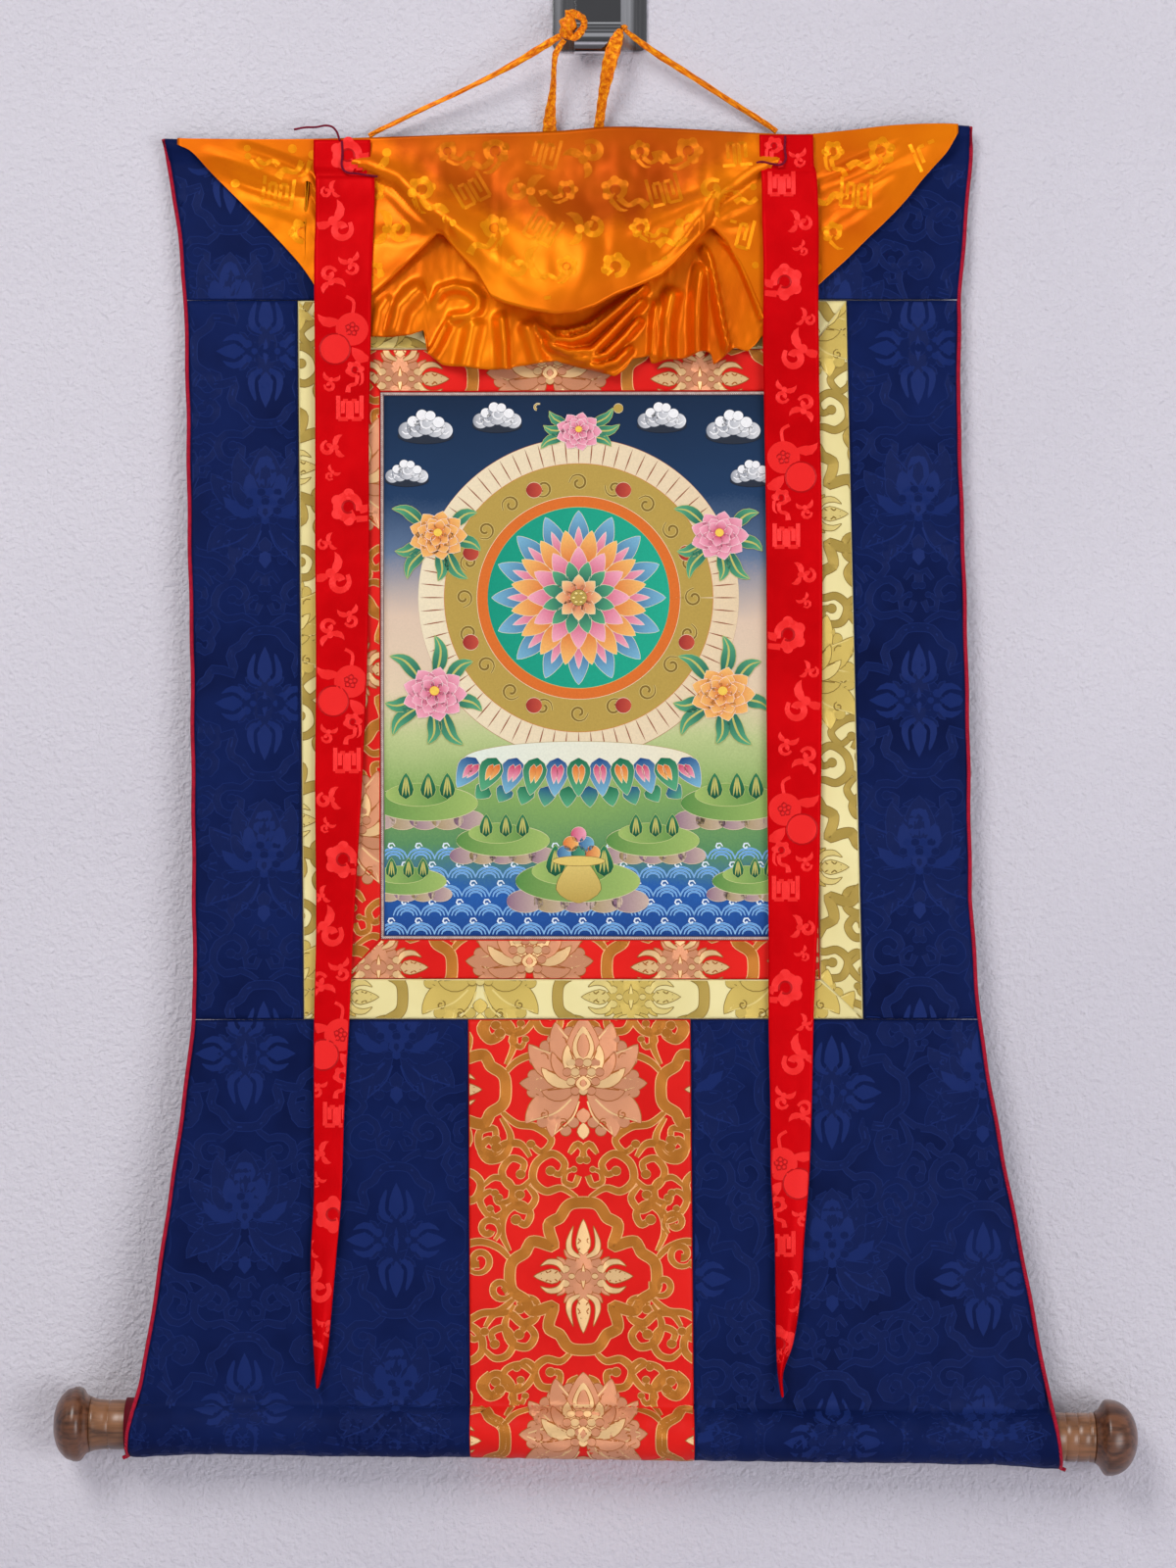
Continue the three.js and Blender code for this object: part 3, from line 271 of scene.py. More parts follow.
# z, x of the left edge, x of the right edge
OUTLINE = (
    (-83, -282, 239.1), (-99.4, -279.1, 239.4), (-118.5, -275.3, 237.8), (-147, -270.8, 235.2),
    (-191.4, -266.8, 231.6), (-264.1, -264.7, 231), (-321, -263.9, 232.8), (-406.1, -261.7, 235),
    (-491.1, -260.7, 236.6), (-575.9, -259.5, 237.6), (-632.3, -258.8, 241.2), (-654.8, -259.7, 243),
    (-688.6, -263.3, 247.9), (-744.9, -270.7, 258.1), (-801, -278.6, 269.2), (-857.1, -286.9, 279.6),
    (-885.5, -292.3, 284.8), (-901.5, -296.7, 288.2), (-914.1, -299.5, 290.1), (-926.6, -300.8, 292),
    (-942.3, -301.4, 294.2),
)
# x, z
TOP_EDGE = (
    (-282.3, -87.4), (-260.2, -88.3), (-197, -88.6), (-133.9, -87.1), (-70.7, -84.8), (-26.5, -83.3),
    (7.6, -80.6), (49.3, -81.8), (93.5, -84.2), (128.9, -85.5), (156.7, -83.3), (188.2, -79.7),
    (219.7, -78.5), (240, -79.4),
)
# x, how far the pocket seam stands before the rod's middle
SEAM_MIDDLE = ((-299.6, 12), (-221.1, 7), (-7.5, 5.2), (293.9, 4))


def mix(a, b, t):
    return a + (b - a) * t


def clamp(t):
    return min(1.0, max(0.0, t))


def ease(t):
    t = clamp(t)
    return t * t * (3 - 2 * t)


def read(table, value, column=1):
    """Reads a column of a table at a value of its first column, which rises or falls."""
    rising = table[-1][0] > table[0][0]
    for a, b in zip(table, table[1:]):
        if (value <= b[0]) if rising else (value >= b[0]):
            return mix(a[column], b[column], clamp((value - a[0]) / (b[0] - a[0])))
    return table[-1][column]


def flow(table, value, column=1):
    """The same, but rounded through the rows."""
    for i in range(len(table) - 1):
        a, b = table[i], table[i + 1]
        if value <= b[0] or i == len(table) - 2:
            t = clamp((value - a[0]) / (b[0] - a[0]))
            before, after = table[max(0, i - 1)], table[min(len(table) - 1, i + 2)]
            m0 = (b[column] - before[column]) / max(1e-6, b[0] - before[0]) * (b[0] - a[0])
            m1 = (after[column] - a[column]) / max(1e-6, after[0] - a[0]) * (b[0] - a[0])
            return (
                (2 * t**3 - 3 * t**2 + 1) * a[column] + (t**3 - 2 * t**2 + t) * m0
                + (3 * t**2 - 2 * t**3) * b[column] + (t**3 - t**2) * m1
            )
    return table[-1][column]


def rod_z(x):
    return mix(ROD_Z_LEFT, ROD_Z_RIGHT, (x - ROD_LEFT) / (ROD_RIGHT - ROD_LEFT))


def left_edge(z):
    return read(OUTLINE, z, 1)


def right_edge(z):
    return read(OUTLINE, z, 2)


def top_edge(x):
    return flow(TOP_EDGE, x)


def pocket_radius(x):
    ends = min(x - left_edge(rod_z(x)), right_edge(rod_z(x)) - x)
    return POCKET_INNER + POCKET_FLARE * ease(1 - ends / FLARE_LENGTH)


def seam_z(x):
    return rod_z(x) + math.sqrt((pocket_radius(x) + CLOTH / 2) ** 2 - read(SEAM_MIDDLE, x) ** 2)


def cloth_front(x, z):
    """Depth of the hung cloth's front face, which leans out down to the roller and ripples a little."""
    s = clamp((top_edge(x) - z) / (top_edge(x) - seam_z(x)))
    free = min(1, s * 8) * min(1, (1 - s) * 6)
    outer = ease((abs(x + 12) - 150) / 110)
    low = ease((s - 0.62) / 0.3)
    ripple = (
        0.5 * math.sin(x / 23 + z / 190)
        + outer * (0.9 * math.sin(z / 37 + x / 60) + 0.6 * math.sin(z / 17 + 1.4))
        + outer * low * 1.6 * math.sin(x / 16 - z / 90)
    )
    return mix(-5, ROD_DEPTH - read(SEAM_MIDDLE, x) + CLOTH / 2, s) + free * ripple - CLOTH


def cockle(x, z):
    """Small puckers along the long seams and soft creases between them."""
    pucker = (
        sum(math.exp(-(((z - seam) / 9) ** 2)) for seam in (-192, -654.3)) * 0.35
        * math.sin(x / 2.9 + 3 * noise.noise((x / 30, 0, z / 200)))
    )
    crease = noise.noise((x / 34, 1.7, z / 60)) * 1.0 + noise.noise((x / 12, 5.1, z / 20)) * 0.28
    return pucker + crease * (1 + 0.7 * ease((-640 - z) / 60))


def hung(x, z, forward=0.0, dip=0.0):
    """A point on the front face of the hung cloth. The sized canvas in the middle hardly cockles."""
    canvas = ease(min(x + 139, 112 - x, -253 - z, z + 602) / 10)
    return Vector((x, cloth_front(x, z) + cockle(x, z) * mix(0.8, 0.04, canvas) - forward + dip, z))


def lay_cloth(name, across, down, place, finish, slot, nodes, thick=CLOTH, gather=0.0):
    """Cloth laid out by place(u, w), which gives a point of its front face for 0..1 across and 0..1 down."""
    mesh = bmesh.new()
    along = mesh.loops.layers.uv.new("along")
    bmesh.ops.create_grid(mesh, x_segments=across, y_segments=down, size=0.5)
    for face in mesh.faces:
        for loop in face.loops:
            loop[along].uv = (loop.vert.co.x + 0.5, 0.5 - loop.vert.co.y)
    for vert in mesh.verts:
        u, w = vert.co.x + 0.5, 0.5 - vert.co.y
        if gather:
            u = mix(u, 0.5 - 0.5 * math.cos(math.pi * u), gather)
        vert.co = place(u, w)
    smooth_metres(mesh)
    made = made_of(name, mesh, finish)
    wall = made.modifiers.new("lining", "SOLIDIFY")
    wall.thickness, wall.offset, wall.use_rim = thick / 1000, -1.0, True
    wall.use_even_offset = False
    return fit(made, slot, *nodes)


def woven_silk(name, deep, bright, roughness=0.45, sheen=0.1, mottling=14.0, metal=0.0, shine=0.12):
    """Silk cloth: fine crossing threads, patches of a little more and less lustre, on Object coordinates."""
    material, principled = shader(
        name, Sheen_Weight=sheen, Sheen_Roughness=0.4, Sheen_Tint=bright, Specular_IOR_Level=shine,
        Metallic=metal
    )
    place = own_place(material)
    warp = node(
        material, "TexWave", {"Vector": place, "Scale": 520.0, "Distortion": 0.6, "Detail": 1.0},
        bands_direction="X"
    )
    weft = node(
        material, "TexWave", {"Vector": place, "Scale": 520.0, "Distortion": 0.6, "Detail": 1.0},
        bands_direction="Z"
    )
    threads = maths(material, "MULTIPLY", warp.outputs["Fac"], weft.outputs["Fac"])
    patch = node(
        material, "TexNoise", {"Vector": place, "Scale": mottling, "Detail": 3.0, "Roughness": 0.6}
    )
    lustre = maths(material, "MULTIPLY_ADD", threads, 0.15, patch.outputs["Fac"])
    wire(material, ramp(material, lustre, (0.2, deep), (0.72, bright)), principled.inputs["Base Color"])
    rough = remap(material, patch.outputs["Fac"], roughness - 0.08, roughness + 0.1)
    wire(material, rough, principled.inputs["Roughness"])
    bump(material, principled, threads, 0.2, 0.0001)
    return material


navy_silk = woven_silk(
    "navy_silk_damask", paint(6, 15, 52), paint(17, 33, 84), roughness=0.55, sheen=0.0, shine=0.04
)
INSET = 1.0  # the piping covers the outer edge
HEM_HEIGHT, HEM_BACK, HEM_FRONT = 10.0, -3.6, -11.6


def inner_left(z):
    return left_edge(z) + INSET


def inner_right(z):
    return right_edge(z) - INSET


def top_panel_point(u, w):
    x = mix(inner_left(-90), inner_right(-84), u)
    top = top_edge(x) - 0.2
    foot = mix(-192, -191.4, u)
    if w < 0.4:  # round the flat stick, from behind, over its top and down its front
        turn = mix(-0.86 * math.pi, 0.8 * math.pi, w / 0.4)
        z = top - HEM_HEIGHT / 2 + HEM_HEIGHT / 2 * math.cos(turn)
        return Vector((
            mix(inner_left(z), inner_right(z), u), (HEM_BACK + HEM_FRONT) / 2 - 4.0 * math.sin(turn), z
        ))
    z = mix(top - HEM_HEIGHT - 3, foot, (w - 0.4) / 0.6)
    return hung(mix(inner_left(z), inner_right(z), u), z)


def between_edges(left, right, top, foot):
    """Cloth between two side edges, each an x for every z, and two level edges."""
    def point(u, w):
        z = mix(top, foot, w)
        edge = min(u * (right(z) - left(z)), (1 - u) * (right(z) - left(z)), abs(z - top), abs(z - foot))
        return hung(mix(left(z), right(z), u), z, dip=0.5 * math.exp(-((edge / 1.6) ** 2)))
    return point


FRAME_SEAM = ((-193.3, -194.6, 159), (-377.8, -192.6, 162.4), (-654.8, -189.4, 168.7))
SIDE_TOP, SIDE_FOOT = -192.3, -654.2
LAP_END = 1.97 * math.pi  # how far round the roller a lower piece is lapped


def frame_left(z):
    return read(FRAME_SEAM, z, 1) - GAP


def frame_right(z):
    return read(FRAME_SEAM, z, 2) + GAP


top_panel = lay_cloth("mount_top", 130, 54, top_panel_point, navy_silk, "navy_damask", ["top_panel"])
left_side = lay_cloth(
    "mount_side_left", 30, 110, between_edges(inner_left, frame_left, SIDE_TOP, SIDE_FOOT), navy_silk,
    "navy_damask", ["side_panel_left"], gather=0.3
)
right_side = lay_cloth(
    "mount_side_right", 30, 110, between_edges(frame_right, inner_right, SIDE_TOP, SIDE_FOOT), navy_silk,
    "navy_damask", ["side_panel_right"], gather=0.3
)

BODY = 0.66  # share of a lower piece's rows above the pocket seam


def slack(x, turn, s):
    """How far the cloth stands off the roller, in puckers that die away round the back."""
    puckers = (
        1.1 * noise.noise((x / 10, 3.3, turn * 0.9)) + 0.7 * noise.noise((x / 4.5, 8.1, turn * 1.4)) + 0.4
    )
    return max(-0.3, puckers * math.sin(math.pi * clamp(s * 1.9)) - 0.9 * math.exp(-((s * 9) ** 2)))


def lower_point(left, right):
    """A lower piece from its seam to the roller, then round the roller and up to the stitching again."""
    def point(u, w):
        top = SIDE_FOOT - GAP
        if w <= BODY:
            s = w / BODY
            z = mix(top, mix(seam_z(left(-900)), seam_z(right(-900)), u), s)
            x = mix(left(z), right(z), u)
            z = mix(z, mix(top, seam_z(x), s), s)
            edge = min(u * (right(z) - left(z)), (1 - u) * (right(z) - left(z)), abs(z - top))
            return hung(x, z, dip=0.5 * math.exp(-((edge / 1.6) ** 2)))
        x = mix(left(rod_z(0)), right(rod_z(0)), u)
        start = math.asin(read(SEAM_MIDDLE, x) / (pocket_radius(x) + CLOTH / 2))
        s = (w - BODY) / (1 - BODY)
        turn = mix(start, LAP_END, s)
        reach = pocket_radius(x) + CLOTH + 0.25 + slack(x, turn, s)
        z = rod_z(x) + reach * math.cos(turn)
        x = mix(left(z), right(z), u)
        return Vector((x, ROD_DEPTH - reach * math.sin(turn), rod_z(x) + reach * math.cos(turn)))
    return point


def door_left(z):
    return read(((-654.2, -84.1), (-936, -82.5)), z)


def door_right(z):
    return read(((-654.2, 58), (-936, 60.2)), z)


left_foot = lay_cloth(
    "mount_foot_left", 72, 114, lower_point(inner_left, lambda z: door_left(z) - GAP), navy_silk,
    "navy_damask", ["lower_panel_left"], gather=0.2
)
right_foot = lay_cloth(
    "mount_foot_right", 82, 114, lower_point(lambda z: door_right(z) + GAP, inner_right), navy_silk,
    "navy_damask", ["lower_panel_right"], gather=0.2
)


# ---------------------------------------------------------------- woven figures
# The lotus, cloud-collar and vine repeat that the mount, the borders and the door panel are all woven with.
# Each line of it is
# a narrow float of thread a little proud of the ground, with an outline in a second thread.
def rounded(points, steps, closed=False):
    """Points along a smooth line through the given ones."""
    n = len(points)
    out = []
    spans = n if closed else n - 1
    for k in range(steps + 1):
        at = k / steps * spans
        i = min(int(at), spans - 1)
        t = at - i
        if closed:
            a, b, c, d = (Vector(points[(i + j) % n]) for j in (-1, 0, 1, 2))
        else:
            a, b, c, d = (Vector(points[min(n - 1, max(0, i + j))]) for j in (-1, 0, 1, 2))
        out.append(
            0.5
            * (2 * b + (c - a) * t + (2 * a - 5 * b + 4 * c - d) * t * t + (3 * b - a - 3 * c + d) * t**3)
        )
    return out


def float_line(points, widths, dye, rim, layer=0, closed=False, step=1.8, tip=None):
    """One woven line: its spine, half widths along it, the colour of its body and of its outline."""
    spine = [Vector(p) for p in points]
    length = sum((b - a).length for a, b in zip(spine, spine[1:]))
    steps = max(5, int(length / step))
    return dict(
        spine=rounded(points, steps, closed), widths=widths, dye=dye, rim=rim, tip=tip or dye, layer=layer,
        length=length
    )


def leaf(base, tip, width, dye, rim, layer=0, bend=0.0, full=0.55, light=None, step=2.8):
    """A petal or leaf from its base to its tip, widest at full."""
    a, b = Vector(base), Vector(tip)
    side = Vector((-(b - a).y, (b - a).x)) * bend
    widths = (
        [0.08, 0.55, 0.9, 1.0, 0.92, 0.7, 0.4, 0.02] if full > 0.5
        else [0.08, 0.75, 1.0, 0.92, 0.75, 0.55, 0.3, 0.02]
    )
    return float_line(
        [a, a.lerp(b, 0.35) + side * 0.8, a.lerp(b, 0.7) + side, b], [width * k for k in widths], dye, rim,
        layer, step=step, tip=light
    )


def curl(centre, radius, start, turns, width, dye, rim, layer=0, grow=0.25, step=1.6):
    """A spiral from its outer end to its middle."""
    count = max(6, int(abs(turns) * 9))
    points = []
    for k in range(count + 1):
        t = k / count
        r, a = radius * mix(1, grow, t), math.radians(start) + math.tau * turns * t
        points.append((centre[0] + r * math.cos(a), centre[1] + r * math.sin(a)))
    return float_line(points, [width * 0.6, width, width, width * 1.1], dye, rim, layer, step=step)


def disc(centre, radius, dye, rim, layer=0, light=None, squash=1.0):
    """A round or oval spot, its rows closer together towards its ends."""
    rows = 8 if radius < 4 else 12 if radius < 20 else int(radius * 0.8)
    turns = [math.pi * k / rows for k in range(rows + 1)]
    spine = [(centre[0] - radius * math.cos(a), centre[1]) for a in turns]
    return float_line(
        spine, [radius * squash * math.sin(a) for a in turns], dye, rim, layer,
        step=2 * radius / (rows + 0.5), tip=light
    )


def moved(lines, dx, dz, scale=1.0, mirror=1, turn=0.0):
    out = []
    c, s = math.cos(math.radians(turn)), math.sin(math.radians(turn))
    for line in lines:
        spine = [
            Vector((mirror * (p.x * c - p.y * s) * scale + dx, (p.x * s + p.y * c) * scale + dz))
            for p in line["spine"]
        ]
        out.append({
            **line, "spine": spine, "widths": [w * scale for w in line["widths"]],
            "length": line["length"] * scale
        })
    return out


def weave_figures(name, lines, lay, finish, slot, cuts=(), puff=0.07, lift=0.1, layer_step=0.04, keep=None):
    """Lays the lines on a cloth as low closed ridges. A cut is a point and its outward direction."""
    mesh = bmesh.new()
    along = mesh.loops.layers.uv.new("along")
    under = mesh.faces.layers.int.new("under")
    half_layer, run_layer, side_layer = (
        mesh.verts.layers.float.new(layer) for layer in ("half", "run", "side")
    )
    dye_layer, rim_layer = mesh.verts.layers.float_color.new("dye"), mesh.verts.layers.float_color.new("rim")
    for line in lines:
        spine, widths = line["spine"], line["widths"]
        steps = len(spine) - 1
        if keep and not any(keep(p.x, p.y) for p in spine):
            continue
        # a wide line bends with the cloth across its width too
        across = 1 if max(widths) <= 2 else 2 * math.ceil(max(widths) / 4)
        rows = [[None] * (across + 1) for k in range(steps + 1)]
        for vert in bmesh.ops.create_grid(mesh, x_segments=across, y_segments=steps, size=0.5)["verts"]:
            s, k = vert.co.x * 2, round((0.5 - vert.co.y) * steps)
            rows[k][round((s + 1) / 2 * across)] = vert
            ahead, behind = spine[min(steps, k + 1)], spine[max(0, k - 1)]
            run = ahead - behind
            run = run.normalized() if run.length > 1e-9 else Vector((1, 0))
            at = k / steps * (len(widths) - 1)
            i = min(int(at), len(widths) - 2)
            half = max(0.02, mix(widths[i], widths[i + 1], at - i))
            # the grid's x runs to the right of a line that runs down its y
            point = spine[k] + Vector((-run.y, run.x)) * (s * half)
            vert.co = (
                point.x, point.y, line["layer"] * layer_step + puff * (1 - abs(s)) * min(1, half / 1.5)
            )
            vert[half_layer] = half
            vert[run_layer], vert[side_layer] = k / steps * line["length"], s * half
            vert[dye_layer] = Vector(line["dye"]).lerp(Vector(line["tip"]), k / steps)
            vert[rim_layer] = line["rim"]
        # the underside, which shares the two edges and dips into the cloth between them, and the two ends
        low = line["layer"] * layer_step - 0.15
        backs = []
        for row in rows:
            middle = (row[0].co + row[-1].co) / 2
            below = (
                [(middle.x, middle.y, low)] if across < 4 else [(v.co.x, v.co.y, low) for v in row[1:-1]]
            )
            backs.append([row[0]] + [mesh.verts.new(place, row[0]) for place in below] + [row[-1]])
        for near, far in zip(backs, backs[1:]):
            for c in range(len(near) - 1):
                mesh.faces.new((near[c], near[c + 1], far[c + 1], far[c]))[under] = 1
        mesh.faces.new(rows[0] + backs[0][-2:0:-1])[under] = 2
        mesh.faces.new(rows[-1][::-1] + backs[-1][1:-1])[under] = 2
    for point, outward in cuts:
        bmesh.ops.bisect_plane(
            mesh, geom=mesh.verts[:] + mesh.edges[:] + mesh.faces[:], plane_co=(*point, 0),
            plane_no=(*outward, 0), clear_outer=True
        )
        for face in bmesh.ops.holes_fill(
            mesh, edges=[edge for edge in mesh.edges if edge.is_boundary], sides=0
        )["faces"]:
            face[under] = 2
    bmesh.ops.dissolve_degenerate(mesh, dist=0.01, edges=mesh.edges)
    # where a line turns tighter than its width, its inner edge folds over: those faces are turned back
    wrong = [
        face for face in mesh.faces if abs(face.normal.z) > 0.3 and (face.normal.z < 0) != bool(face[under])
    ]
    bmesh.ops.reverse_faces(mesh, faces=wrong)
    for face in mesh.faces:
        face.smooth = True
        for loop in face.loops:
            loop[along].uv = (loop.vert[run_layer], loop.vert[side_layer])
    for edge in mesh.edges:
        edge.smooth = len({face[under] for face in edge.link_faces}) == 1
    for vert in mesh.verts:
        vert.co = lay(vert.co.x, vert.co.y, lift + vert.co.z) * 0.001
    bmesh.ops.dissolve_degenerate(mesh, dist=0.00001, edges=mesh.edges)
    return fit(made_of(name, mesh, finish), slot)


def from_edge(material):
    """How far in from the nearer edge of its line a point lies, in millimetres."""
    across = node(material, "SeparateXYZ", {0: node(material, "UVMap", uv_map="along").outputs[0]})
    side = maths(material, "ABSOLUTE", across.outputs[1])
    half = node(material, "Attribute", attribute_name="half")
    return maths(material, "SUBTRACT", half.outputs["Fac"], side)


def figure_thread(name, roughness=0.4, metal=0.35, outline=0.45, rib=1.1, depth=0.5, shine=0.15):
    """Raised weft thread: body and outline colours from the line's own attributes, ribs across it."""
    material, principled = shader(name, Metallic=metal, Roughness=roughness, Specular_IOR_Level=shine)
    body, line = node(
        material, "Attribute", attribute_name="dye"
    ), node(material, "Attribute", attribute_name="rim")
    inside = remap(material, from_edge(material), start=outline * 0.7, end=outline * 1.2)
    tint = blend(material, inside, line.outputs["Color"], body.outputs["Color"])
    run = node(material, "UVMap", uv_map="along")
    ribs = node(
        material, "TexWave", {"Vector": run.outputs[0], "Scale": rib, "Distortion": 1.5, "Detail": 2.0},
        bands_direction="DIAGONAL"
    )
    shade = remap(material, ribs.outputs["Fac"], 0.86, 1.06)
    dyed = blend(material, 1.0, tint, shade, "MULTIPLY")
    wire(material, dyed, principled.inputs["Base Color"])
    wire(
        material,
        node(
            material, "Bump", {"Height": ribs.outputs["Fac"], "Strength": depth, "Distance": 0.00025}
        ).outputs["Normal"],
        principled.inputs["Normal"]
    )
    return material


# drawn for one side of the collar and mirrored: points of each vine, half widths at its start, middle and
# end
SCROLLS = (
    (
        ((4, 50), (14, 56), (24, 54), (32, 61), (30, 72), (20, 78), (12, 72), (15, 65), (21, 67)),
        (1.6, 2.8, 2.4)
    ),
    (((3, 64), (6, 58), (12, 60), (11, 66), (6, 68)), (2.2, 2.2, 1.6)),
    (((9, 78), (4, 84), (0, 80), (2, 74)), (1.4, 2.4, 2)),
    (((33, 62), (40, 56), (48, 58), (52, 67), (46, 75), (38, 72), (40, 65)), (1.6, 2.6, 2.4)),
    (((34, 76), (40, 84), (50, 84), (58, 78), (66, 82), (66, 92), (57, 94), (56, 87)), (1.6, 3, 2.4)),
    (((46, 10), (54, 18), (66, 22), (78, 18), (84, 8), (76, 2), (70, 8)), (1.8, 2.6, 2.4)),
    (((47, 16), (52, 28), (50, 40), (41, 46), (34, 40), (37, 33), (43, 36)), (1.4, 2.8, 2.6)),
    (((52, 34), (60, 38), (66, 48), (60, 54), (54, 50)), (1.4, 2.4, 2)),
    (((44, -14), (54, -22), (66, -24), (76, -32), (70, -40), (63, -35)), (1.8, 2.6, 2.2)),
    (((44, -18), (50, -30), (46, -42), (36, -45), (31, -38), (36, -32), (41, -37)), (1.4, 2.8, 2.6)),
    (
        ((6, -46), (14, -54), (24, -53), (31, -60), (27, -70), (17, -70), (15, -62), (21, -61)),
        (1.6, 2.8, 2.4)
    ),
    (((32, -62), (40, -56), (50, -60), (50, -70), (42, -72), (40, -66)), (1.4, 2.4, 2)),
    (((3, -64), (9, -68), (6, -74), (0, -72)), (1.6, 2.2, 1.6)),
    (((60, 166), (66, 158), (60, 150), (52, 154), (56, 160)), (1.4, 2.6, 2.4)),
    (((42, 158), (46, 150), (40, 146), (37, 151)), (1.6, 2.2, 1.8)),
)
VINES = [([(side * x, z) for x, z in points], widths) for points, widths in SCROLLS for side in (1, -1)]


def collar_ring():
    """A cloud collar: four broad lobes with a shoulder on each, notched deep on the diagonals."""
    out = []
    for k in range(97):
        turn = math.tau * k / 96
        lobe = abs(math.cos(2 * turn))
        reach = 27 + 13 * ease(lobe / 0.42) + 7 * ease((lobe - 0.7) / 0.28)
        out.append((reach * math.sin(turn), reach * math.cos(turn)))
    return out


def lotus(dye, rim, heart):
    """A woven lotus seen from the side, 80 mm wide, its broad lobed petals packed close."""
    lines = []
    for k, (tx, tz, wide, bend) in enumerate((
        (20, -33, 8.2, 0.14), (37, -24, 8.4, 0.1), (41, 2, 8.6, 0.0), (35, 27, 8.8, -0.08),
        (18, 41, 9.0, -0.06)
    )):
        bx, bz = tx * 0.12, tz * 0.12
        px, pz = -tz / math.hypot(tx, tz), tx / math.hypot(tx, tz)
        petal = [
            disc((tx * f + px * o, tz * f + pz * o), wide * 0.46, dye, rim, layer=k)
            for f, o in ((0.78, wide * 0.62), (0.78, -wide * 0.62), (0.6, wide * 0.8), (0.6, -wide * 0.8))
        ]
        petal.append(leaf((bx, bz), (tx, tz), wide, dye, rim, layer=k + 1, bend=bend))
        petal.append(
            curl(
                (tx * 0.7 - px * 1.5, tz * 0.7 - pz * 1.5), wide * 0.42, 60, 1.2, 0.5, rim, rim, layer=k + 2
            )
        )
        petal += [
            float_line(
                [
                    (tx * 0.25 + px * o, tz * 0.25 + pz * o),
                    (tx * 0.55 + px * o * 1.6, tz * 0.55 + pz * o * 1.6), (tx * 0.93, tz * 0.93)
                ],
                [0.55, 0.55, 0.3], heart, heart, layer=k + 2
            )
            for o in (wide * 0.34, -wide * 0.34)
        ]
        for mirror in (1, -1):
            lines += moved(petal, 0, 0, mirror=mirror)
    lines += [
        leaf((0, 4), (0, 45), 11.5, dye, rim, layer=6), leaf((0, 12), (0, 39), 7.4, heart, rim, layer=7),
        leaf((0, 17), (0, 35), 4.4, dye, rim, layer=8),
        float_line([(0, 20), (0, 31)], [0.5, 0.5], rim, rim, layer=9)
    ]
    for k, (tx, tz) in enumerate(((27, -3), (27, 12), (20, 22), (10, 27))):
        for mirror in (1, -1):
            lines += moved(
                [
                    leaf(
                        (tx * 0.2, tz * 0.2 - 2), (tx, tz), 5.0, (dye, heart)[k % 2], rim, layer=8 + k,
                        bend=-0.1
                    ),
                    float_line(
                        [(tx * 0.35, tz * 0.35), (tx * 0.85, tz * 0.85)], [0.4, 0.4], rim, rim, layer=9 + k
                    )
                ],
                0, 0, mirror=mirror
            )
    for row, (count, z) in enumerate(((4, 15), (5, 9), (4, 3), (3, -3))):
        for n in range(count):
            lines.append(
                disc(
                    ((n - (count - 1) / 2) * 5.2, z), 3.0, (heart, dye)[(row + n) % 2], rim, layer=12 + row
                )
            )
    lines += [
        leaf((0, -3), (0, 7), 5.4, heart, rim, layer=16), leaf((0, -1), (0, 5), 2.4, dye, rim, layer=17),
        leaf((0, -34), (0, -23), 4.4, heart, rim, layer=3), leaf((0, -14), (0, -24), 5.0, dye, rim, layer=2)
    ]
    return lines


def cross_bloom(dye, rim, heart):
    """Four cross-hatched buds in curved sheaths round a lozenge, inside the collar."""
    lines = [
        leaf((-17.5, 0), (17.5, 0), 8.2, dye, rim, layer=2), leaf((0, -19), (0, 19), 8.0, dye, rim, layer=2)
    ]
    lines += (
        [disc((x, z), 4.2, dye, rim, layer=1) for x in (8, -8) for z in (8, -8)]
        + [disc((x, z), 2.8, heart, rim, layer=3) for x in (11.5, -11.5) for z in (4.6, -4.6)]
    )
    lines += [
        leaf((0, -8.5), (0, 8.5), 1.9, heart, rim, layer=5), disc((0, 0), 5.2, dye, rim, layer=4),
        disc((7.4, 0), 2.2, heart, rim, layer=4), disc((-7.4, 0), 2.2, heart, rim, layer=4)
    ]
    for turn, reach in ((0, 32), (90, 36.5), (180, 32), (270, 36.5)):
        arm = [leaf((13.5, 0), (reach, 0), 5.2, heart, rim, layer=4, full=0.4)]
        arm += [
            float_line([(a, b), (c, d)], [0.42, 0.42], rim, rim, layer=5)
            for a, b, c,
            d in (
                (16.5, -3.2, 24, 3.2), (20.5, -3.6, 27, 1.6), (16.5, 3.2, 24, -3.2), (20.5, 3.6, 27, -1.6)
            )
        ]
        for side in (1, -1):
            arm += [
                float_line(
                    [(12, 2.2 * side), (15.5, 8 * side), (22, 9.2 * side), (reach - 4.5, 6.4 * side)],
                    [1.2, 2.4, 2.0, 0.3], heart, rim, layer=3
                ),
                float_line(
                    [(11, 3.4 * side), (13, 9.5 * side), (17, 12.2 * side)], [1.4, 1.9, 0.5], dye, rim,
                    layer=2
                )
            ]
        lines += moved(arm, 0, 0, turn=turn)
    return lines


